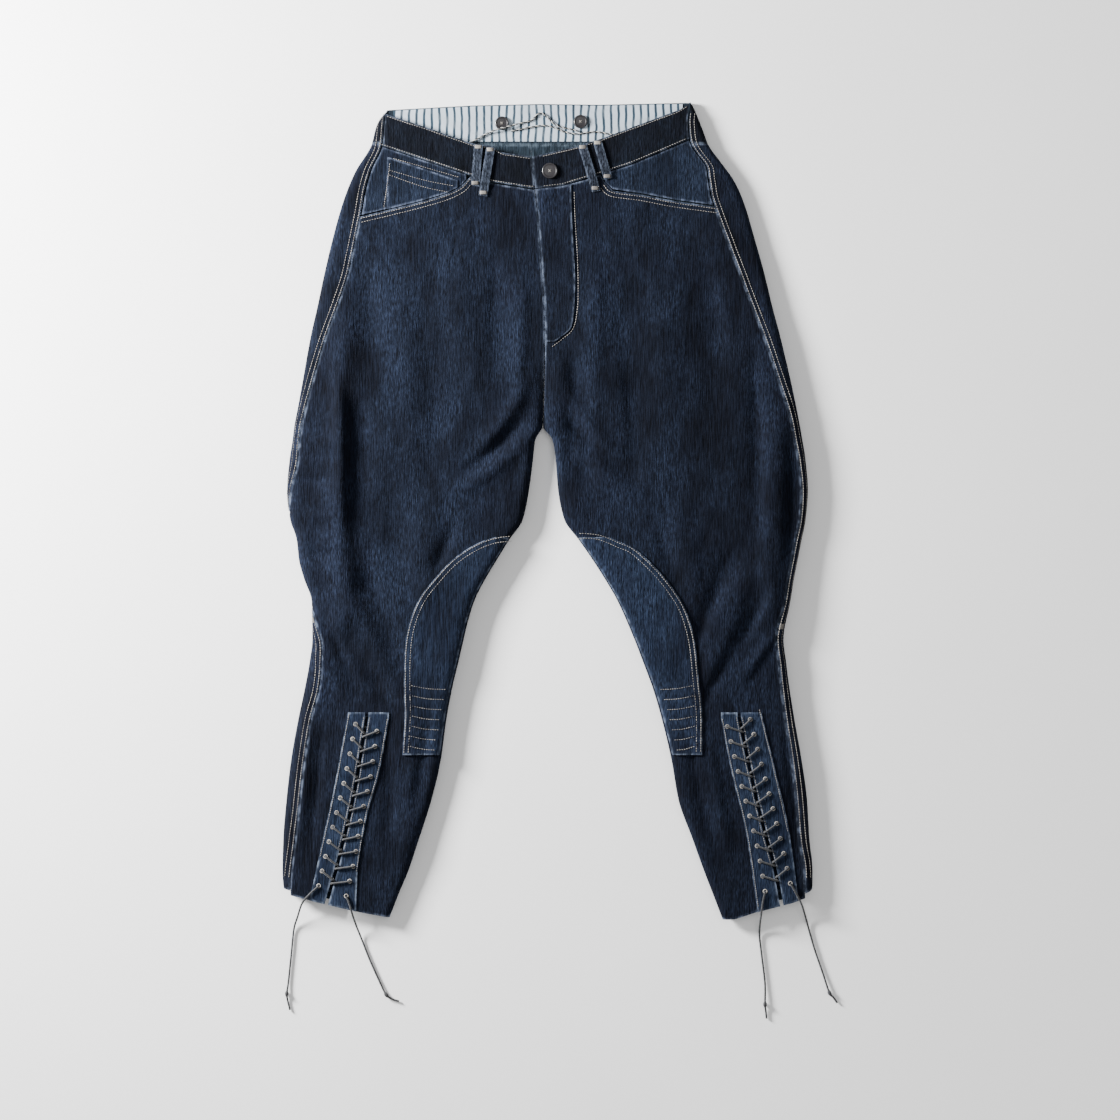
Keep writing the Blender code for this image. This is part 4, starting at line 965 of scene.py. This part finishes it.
x, y = between(lambda y: right.at("inner", y) + 0.4, lambda y: down(FLY_EDGE, y),
               lambda x: np.full_like(x, 214.0), lambda x: across(BAND_SEAM, x) - 2 * SEAM_GAP, 12, 60)
fly = lay("fly_piece", right, x, y, 2 * LAY_GAP + THIN_CLOTH, THIN_CLOTH, leg_denim)

# Knee patches: crescents with quilted rows across their lower part.
for word, leg, edge in (("left", left, LEFT_PATCH), ("right", right, RIGHT_PATCH)):
    foot = edge[-1][1]
    levels = np.concatenate([np.linspace(-34, -216, 44), np.linspace(-219, foot, 46)])
    columns = np.concatenate([even(22), 1 + even(6, True)])
    points, normals, lift = [], [], []
    for level in levels:
        near = leg.wrap_at(down(edge, level), level)
        arc = leg.spans(level)[2]
        bend_wrap = leg.full_wrap(level) - arc
        wrap = np.where(columns < 1, near + (bend_wrap - near) * columns,
                        bend_wrap + arc * 0.5 * (columns - 1))
        spot, facing = dressed(leg, wrap, np.full_like(wrap, level))
        points.append(spot)
        normals.append(facing)
        rib = 0.6
        if level < PATCH_ROW_TOP:
            rib = abs(math.sin(math.pi * (PATCH_ROW_TOP - level) / PATCH_ROW_PITCH))
        pucker = 0.18 * np.sin(wrap * 0.55 + 9 * math.sin(level / PATCH_ROW_PITCH))
        fade = np.clip(columns / 0.08, 0, 1) * np.clip((1.15 - columns) / 0.2, 0, 1)
        lift.append(PATCH_LIFT + THIN_CLOTH + (PATCH_RIB * rib + pucker) * fade)
    patch = show(cloth("knee_patch_" + word, np.array(points), np.array(normals), np.array(lift), THIN_CLOTH,
                       patch_denim, inside_denim), "denim", "knee_patch_" + word)

# Belt loops, standing off the band.
BELT_LOOPS = {"belt_loop_1": (left, (-87.5, 464), (-92, 412)), "belt_loop_2": (left, (-72, 461), (-82, 399)),
              "belt_loop_3": (right, (44, 464), (62, 405)), "belt_loop_4": (right, (63, 469), (77, 421))}
for name, (leg, top, foot) in BELT_LOOPS.items():
    shares = even(26, True)
    rise = np.interp(shares, [0, 0.25, 0.5, 0.75, 0.86, 1], [2.9, 3.6, 3.6, 3.4, 1.9, 1.6]) + LAY_GAP
    side = np.linspace(-0.5, 0.5, 9)[None, :] * 11.0
    x = top[0] + (foot[0] - top[0]) * shares[:, None] + side
    y = top[1] + (foot[1] - top[1]) * shares[:, None] + side * 0.2 * leg.out
    rim = 0.5 + 0.5 * np.repeat((np.abs(np.linspace(-1, 1, 9)) > 0.7)[None, :], 26, axis=0)
    loop = lay(name, leg, x, y, rise[:, None] + np.zeros_like(x), THIN_CLOTH, band_denim, wear=rim)

# Lacing: tongues, flaps with worked eyelets, and the laces.
for word, leg, side, hem in (("left", left, LEFT_LACING, LEFT_HEM),
                             ("right", right, RIGHT_LACING, RIGHT_HEM)):
    levels = np.linspace(-258, -484, 46)
    u = even(14, True)[None, :]
    x = (leg.slot_at("outer", levels)[:, None] + leg.out * 7) * (1 - u)
    x = x + (leg.slot_at("inner", levels)[:, None] - leg.out * 7) * u
    y = np.repeat(levels[:, None], 14, axis=1)
    drop = CLOTH + LAY_GAP + 1.05 * np.sin(math.pi * np.clip(u * 1.0, 0, 1)) ** 0.5
    tongue = lay("tongue_" + word, leg, x, y, -drop + np.zeros_like(x), THIN_CLOTH, facing_denim)
    for part in ("outer", "inner"):
        toward = leg.out if part == "outer" else -leg.out
        sewn = lambda y, e=side[part + " edge"]: down(e, y)
        free = lambda y, m=side["meet"], t=toward: down(m, y) + t * FLAP_GAP / 2
        x, y = between(sewn, free, lambda x, h=hem: across(h, x), lambda x: np.full_like(x, -256.0), 12, 70)
        name = "flap_" + word + "_" + part
        flap = lay(name, leg, x, y, FLAP_LIFT + THIN_CLOTH, THIN_CLOTH, flap_denim)


def ring_mesh(middles, facings, major, minor, around=16, thick=6):
    """Rings lying on the cloth, one round each middle."""
    verts, faces = [], []
    for middle, facing in zip(middles, facings):
        a = np.cross(facing, [0, 1, 0])
        a /= np.linalg.norm(a)
        b = np.cross(facing, a)
        first = len(verts)
        for i in range(around):
            t = 2 * math.pi * i / around
            out = a * math.cos(t) + b * math.sin(t)
            swell = 1 + 0.12 * (i % 2)
            for j in range(thick):
                p = 2 * math.pi * j / thick
                rise = facing * minor * swell * math.sin(p)
                verts.append(middle + out * (major + minor * math.cos(p)) + rise)
        for i in range(around):
            for j in range(thick):
                k, m = (i + 1) % around, (j + 1) % thick
                faces.append((first + i * thick + j, first + k * thick + j, first + k * thick + m,
                              first + i * thick + m))
    return verts, faces


def mesh_object(name, verts, faces, look):
    mesh = bpy.data.meshes.new(name)
    mesh.from_pydata((np.array(verts) * MM).tolist(), [], faces)
    mesh.materials.append(look)
    mesh.polygons.foreach_set("use_smooth", [True] * len(faces))
    return bpy.data.objects.new(name, mesh)


EYELET_LIFT = FLAP_LIFT + THIN_CLOTH + 0.1
for word, leg, side in (("left", left, LEFT_LACING), ("right", right, RIGHT_LACING)):
    rows = {"outer": along(side["outer eyelets"], EYELETS), "inner": along(side["inner eyelets"], EYELETS)}
    for part, row in rows.items():
        spots, facing = dressed_plan(leg, row[0], row[1])
        verts, faces = ring_mesh(spots + facing * EYELET_LIFT, facing, 2.35, 0.65)
        show(mesh_object("eyelets_" + word + "_" + part, verts, faces, thread), "denim")

    above = FLAP_LIFT + THIN_CLOTH + LACE_DIAMETER / 2 + 0.35
    below = FLAP_LIFT - LACE_DIAMETER / 2 - 0.5

    def spot_at(x, y, lift, g=leg):
        return dressed_plan(g, x, y)[0] + np.array([0, 0, 1]) * lift

    def lace_run(start, rows=rows, side=side):
        path, near = [], start
        for k in range(EYELETS):
            x, y = rows[near][0][k], rows[near][1][k]
            path += [spot_at(x, y, below), spot_at(x, y, above if k < EYELETS - 1 else FLAP_LIFT + 0.8)]
            if k == EYELETS - 1:
                break
            meet_y = y - 11.0 if near == "outer" else rows["outer"][1][k] - 15.5
            meet_x = down(side["meet"], meet_y)
            path += [spot_at(meet_x, meet_y, above), spot_at(meet_x, meet_y, below)]
            near = "inner" if near == "outer" else "outer"
        return path

    path = np.array(lace_run("outer")[::-1] + lace_run("inner"))
    show(tube("lacing_" + word, smooth_route(path, 1.3), LACE_DIAMETER, lace_finish, resolution=2), "lace",
         "lacing_" + word)

# Buttons: black horn with a sunk middle, and thread crossed where its four holes would be; the holes are not
# cut.
made, tree, into = finish("black button")
cloud = noise(tree, (4, 4, 4), 3)
tree.links.new(mix(tree, cloud, srgb("0c0a0c"), srgb("1b181c")), into["Base Color"])
into["Roughness"].default_value = 0.32
into["Coat Weight"].default_value = 0.3
tree.links.new(bump(tree, noise(tree, (1.5, 1.5, 1.5), 3), 0.15, 0.2), into["Normal"])
horn = made


def button(name, x, y, z, diameter):
    r = diameter / 2
    profile = [(0, 0), (r - 0.9, 0), (r - 0.25, 0.35), (r, 1.0), (r, 1.7), (r - 0.25, 2.3), (r - 0.8, 2.7),
               (r - 1.4, 2.75), (r - 1.9, 2.5), (r - 2.6, 2.15), (r - 3.4, 2.0), (0, 1.9)]
    verts, faces, rings = [], [], []
    for radius, height in profile:
        sides = 1 if radius == 0 else 40
        rings.append([len(verts) + k for k in range(sides)])
        for k in range(sides):
            t = 2 * math.pi * k / 40
            verts.append((x + radius * math.cos(t), y + radius * math.sin(t), z + height))
    for near, far in zip(rings, rings[1:]):
        for k in range(40):
            ring = [near[k % len(near)], near[(k + 1) % 40 % len(near)],
                    far[(k + 1) % 40 % len(far)], far[k % len(far)]]
            faces.append(tuple(dict.fromkeys(ring)))
    return show(mesh_object(name + "_horn", verts, faces, horn), "button", name)


button_z = CLOTH + 2 * LAY_GAP + LINING_CLOTH
button("back_button_left", -58, 493, button_z, 17.5)
button("back_button_right", 42, 495, button_z, 17.5)
front_button_z = float(right.plan(3.0, 431.0)[0][2]) + BAND_CLOTH - CLOTH + LAY_GAP
button("front_button", 3, 431, front_button_z, 20.0)

# Waist cord: a black and an off-white strand twisted together.
made, tree, into = finish("pale cord strand")
fuzz = noise(tree, (1.2, 1.2, 1.2), 3, 0.7)
tree.links.new(mix(tree, fuzz, srgb("77797a"), srgb("b4b3ad")), into["Base Color"])
into["Roughness"].default_value = 0.9
tree.links.new(bump(tree, fuzz, 0.6, 0.4), into["Normal"])
pale_strand = made
made, tree, into = finish("black cord strand")
fuzz = noise(tree, (1.2, 1.2, 1.2), 3, 0.7)
tree.links.new(mix(tree, fuzz, srgb("060709"), srgb("15161a")), into["Base Color"])
into["Roughness"].default_value = 0.85
tree.links.new(bump(tree, fuzz, 0.6, 0.4), into["Normal"])
black_strand = made

WAIST_CORD_DIAMETER = 2.2
TWIST_LENGTH = 8.0
UPPER_WAIST_CORD = [(-108, 462, 4.8), (-93, 471, 4.8), (-76, 480, 5.4), (-64, 484.5, 8.4),
                    (-50, 488, 8.0), (-34, 493, 5.2), (-20, 497, 4.8), (-8, 506, 4.8),
                    (10, 491, 4.8), (26, 486, 4.8), (40, 482.5, 4.8)]
LOWER_WAIST_CORD = [(-46, 483, 4.8), (-21, 488, 4.8), (-3, 490, 4.8), (10, 487, 4.8),
                    (22, 481.5, 4.8), (38, 479.5, 4.8), (60, 482, 4.8), (84, 478, 4.8)]


def twisted(name, route, slot, node):
    """Two strands wound round each other along a route."""
    line = smooth_route(route, 0.9)
    ahead = np.gradient(line, axis=0)
    ahead /= np.linalg.norm(ahead, axis=1, keepdims=True)
    side = np.cross([0, 0, 1.0], ahead)
    side /= np.linalg.norm(side, axis=1, keepdims=True)
    up = np.cross(ahead, side)
    turn = np.arange(len(line)) * 0.9 / TWIST_LENGTH * 2 * math.pi
    for k, (colour, look) in enumerate((("pale", pale_strand), ("black", black_strand))):
        t = turn + k * math.pi
        reach = WAIST_CORD_DIAMETER * 0.27
        points = line + (side * np.cos(t)[:, None] + up * np.sin(t)[:, None]) * reach
        strand = tube(name + "_" + colour, points, WAIST_CORD_DIAMETER * 0.58, look, resolution=2)
        show(strand, slot, *([node] if k == 0 else []))


twisted("waist_cord_upper", UPPER_WAIST_CORD, "waist_cord", "waist_cord_upper")
twisted("waist_cord_lower", LOWER_WAIST_CORD, "waist_cord", "waist_cord_lower")

# Frayed end of the waist cord, a small tuft of loose fibres.
TUFT = (-101, 466, 5.2)
FIBRES = 26
verts, faces = [], []
for k in range(FIBRES):
    turn, tilt = k * 2.4, 0.35 + 0.5 * math.sin(k * 1.7)
    reach = 5.5 + 2.5 * math.sin(k * 3.1)
    for share in np.linspace(0, 1, 5):
        bend = turn + 1.1 * share * math.sin(k * 2.2)
        middle = (TUFT[0] + reach * share * math.cos(bend), TUFT[1] + 0.7 * reach * share * math.sin(bend),
                  TUFT[2] + 2.0 * tilt * math.sin(math.pi * share))
        for corner in range(3):
            c = corner * 2 * math.pi / 3
            verts.append((middle[0] + 0.28 * math.cos(c), middle[1] + 0.28 * math.sin(c),
                          middle[2] + 0.28 * math.sin(c + 0.8)))
    first = k * 15
    for step in range(4):
        for corner in range(3):
            a, b = first + step * 3 + corner, first + step * 3 + (corner + 1) % 3
            faces.append((a, b, b + 3, a + 3))
show(mesh_object("waist_cord_tuft", verts, faces, pale_strand), "waist_cord")

# Stitching.
sewing = Sewing()
for word, leg, hem in (("left", left, LEFT_HEM), ("right", right, RIGHT_HEM)):
    y = np.arange(505, -470, -3.0)
    for inset in (-2.2, -7.4):
        wrap = leg.seam_wrap(y) + inset
        spots, facing = dressed(leg, wrap, y)
        sewing.line(spots + facing * 0.25, facing)
top_left = [(x, float(across(BAND_SEAM, x)) + 2.6) for x in np.linspace(-214, -12, 16)]
top_right = [(x, float(across(BAND_SEAM, x)) + 2.6) for x in np.linspace(-5, 178, 16)]
rim_left = [(x, float(across(FRONT_TOP, x)) - 2.6) for x in np.linspace(-204, -20, 16)]
rim_right = [(x, float(across(FRONT_TOP, x)) - 2.6) for x in np.linspace(-6, 178, 16)]
for leg, line in ((left, top_left), (right, top_right), (left, rim_left), (right, rim_right)):
    sew_on(sewing, leg, line, BAND_CLOTH - CLOTH + 0.25)
for leg, mouth in ((left, LEFT_PANEL_TOP[:7]), (right, RIGHT_PANEL_TOP[4:])):
    for shift in (-2.4, -7.4):
        sew_on(sewing, leg, mouth, 0.25, shift=shift)
J_STITCH = [(31, 405), (32, 372), (35, 323), (36, 280), (35, 256), (30, 232), (16, 219), (3, 209)]
sew_on(sewing, right, J_STITCH, 0.25, shift=3.0)
for word, leg, edge in (("left", left, LEFT_PATCH), ("right", right, RIGHT_PATCH)):
    for shift in (1.8, 7.4):
        sew_on(sewing, leg, edge, PATCH_LIFT + THIN_CLOTH + 0.35, shift=shift * (1 if leg is left else -1))
    for k in range(PATCH_ROWS):
        level = PATCH_ROW_TOP - PATCH_ROW_PITCH * k
        near = float(down(edge, level)) - leg.out * 9
        far = float(leg.at("inner", level)) + leg.out * 8
        tilt = 4.0
        sew_on(sewing, leg, [(near, level + tilt), ((near + far) / 2, level), (far, level - 1)],
               PATCH_LIFT + THIN_CLOTH + 0.35, pitch=3.0, length=2.2)
for leg, side in ((left, LEFT_LACING), (right, RIGHT_LACING)):
    for part in ("outer", "inner"):
        toward = leg.out if part == "outer" else -leg.out
        for line, inset in ((side[part + " edge"], 1.6), (side["meet"], FLAP_GAP / 2 + 1.4)):
            direction = -toward if line is side[part + " edge"] else toward
            row = [(x + direction * inset, y) for x, y in line[:-1]]
            sew_on(sewing, leg, row, FLAP_LIFT + THIN_CLOTH + 0.25, pitch=2.8, length=2.1, width=0.6)
WATCH_SEAMS = [[(-200, 441), (-204, 410), (-208, 382)], [(-196, 447), (-150, 434), (-112, 423)],
               [(-201, 432), (-155, 419), (-119, 412)], [(-201, 426), (-158, 411), (-125, 404)]]
for line in WATCH_SEAMS:
    sew_on(sewing, left, line, LAY_GAP + THIN_CLOTH - FACING_DROP + 0.25, pitch=3.0, length=2.2, width=0.65)

# Belt loops: a dense bar tack at each end. Side seams: a bar tack above the calf.
for leg, top, foot in BELT_LOOPS.values():
    run = np.array([foot[0] - top[0], foot[1] - top[1]])
    for share in (0.05, 0.93):
        middle = np.array(top) + run * share
        for k in range(7):
            y = middle[1] + (k - 3) * 0.6
            spots, facing = dressed_plan(leg, middle[0] + np.array([-4.6, 4.6]), np.array([y, y]))
            lift = 3.4 if share < 0.5 else 2.9
            sewing.bar(spots[0] + facing[0] * lift, spots[1] + facing[1] * lift, facing[0], 0.8)
for leg, level in ((left, -142.0), (right, -150.0)):
    for k in range(9):
        y = np.full(2, level + k * 0.7)
        spots, facing = dressed(leg, leg.seam_wrap(y) - np.array([1.5, 8.5]), y)
        sewing.bar(spots[0] + facing[0] * 0.3, spots[1] + facing[1] * 0.3, facing[0], 0.9)

# Thread crossed over the middle of each button.
for x, y, z in ((-58, 493, button_z), (42, 495, button_z), (3, 431, front_button_z)):
    for dx, dy in ((1.7, 1.7), (-1.7, 1.7)):
        ends = [np.array([x + s * dx, y + s * dy, z + 2.2]) for s in (-1, 1)]
        sewing.bar(ends[0], ends[1], np.array([0, 0, 1.0]), 0.7)
sewing.make("stitching", thread)

# Surface under the garment and the soft light from the left.
made, tree, into = finish("paper ground")
paper = noise(tree, (300, 300, 300), 2)
tree.links.new(mix(tree, paper, srgb("f4f4f4"), srgb("fbfbfb")), into["Base Color"])
into["Roughness"].default_value = 1.0
ground_look = made
mesh = bpy.data.meshes.new("ground")
mesh.from_pydata([(-3, -3, -0.0006), (3, -3, -0.0006), (3, 3, -0.0006), (-3, 3, -0.0006)], [], [(0, 1, 2, 3)])
mesh.materials.append(ground_look)
ground = bpy.data.objects.new("ground", mesh)
bpy.context.scene.collection.objects.link(ground)


def softbox(name, place, aim, size, power):
    light = bpy.data.lights.new(name, "AREA")
    light.shape = "RECTANGLE"
    light.size, light.size_y = size
    light.energy = power
    lamp = bpy.data.objects.new(name, light)
    from_to = np.array(aim, float) - np.array(place, float)
    lamp.location = place
    yaw = math.atan2(from_to[1], from_to[0])
    pitch = math.atan2(np.hypot(from_to[0], from_to[1]), -from_to[2])
    lamp.rotation_euler = (0.0, -pitch, yaw)
    bpy.context.scene.collection.objects.link(lamp)
    return lamp


softbox("key", (-1.75, 0.75, 0.75), (0, 0, 0), (0.5, 0.5), 260)
softbox("fill", (0.9, 0.4, 3.2), (0, 0, 0), (2.5, 2.5), 26)

world = bpy.data.worlds.new("studio")
world.use_nodes = True
world.node_tree.nodes["Background"].inputs["Color"].default_value = (1, 1, 1, 1)
world.node_tree.nodes["Background"].inputs["Strength"].default_value = 0.5
bpy.context.scene.world = world
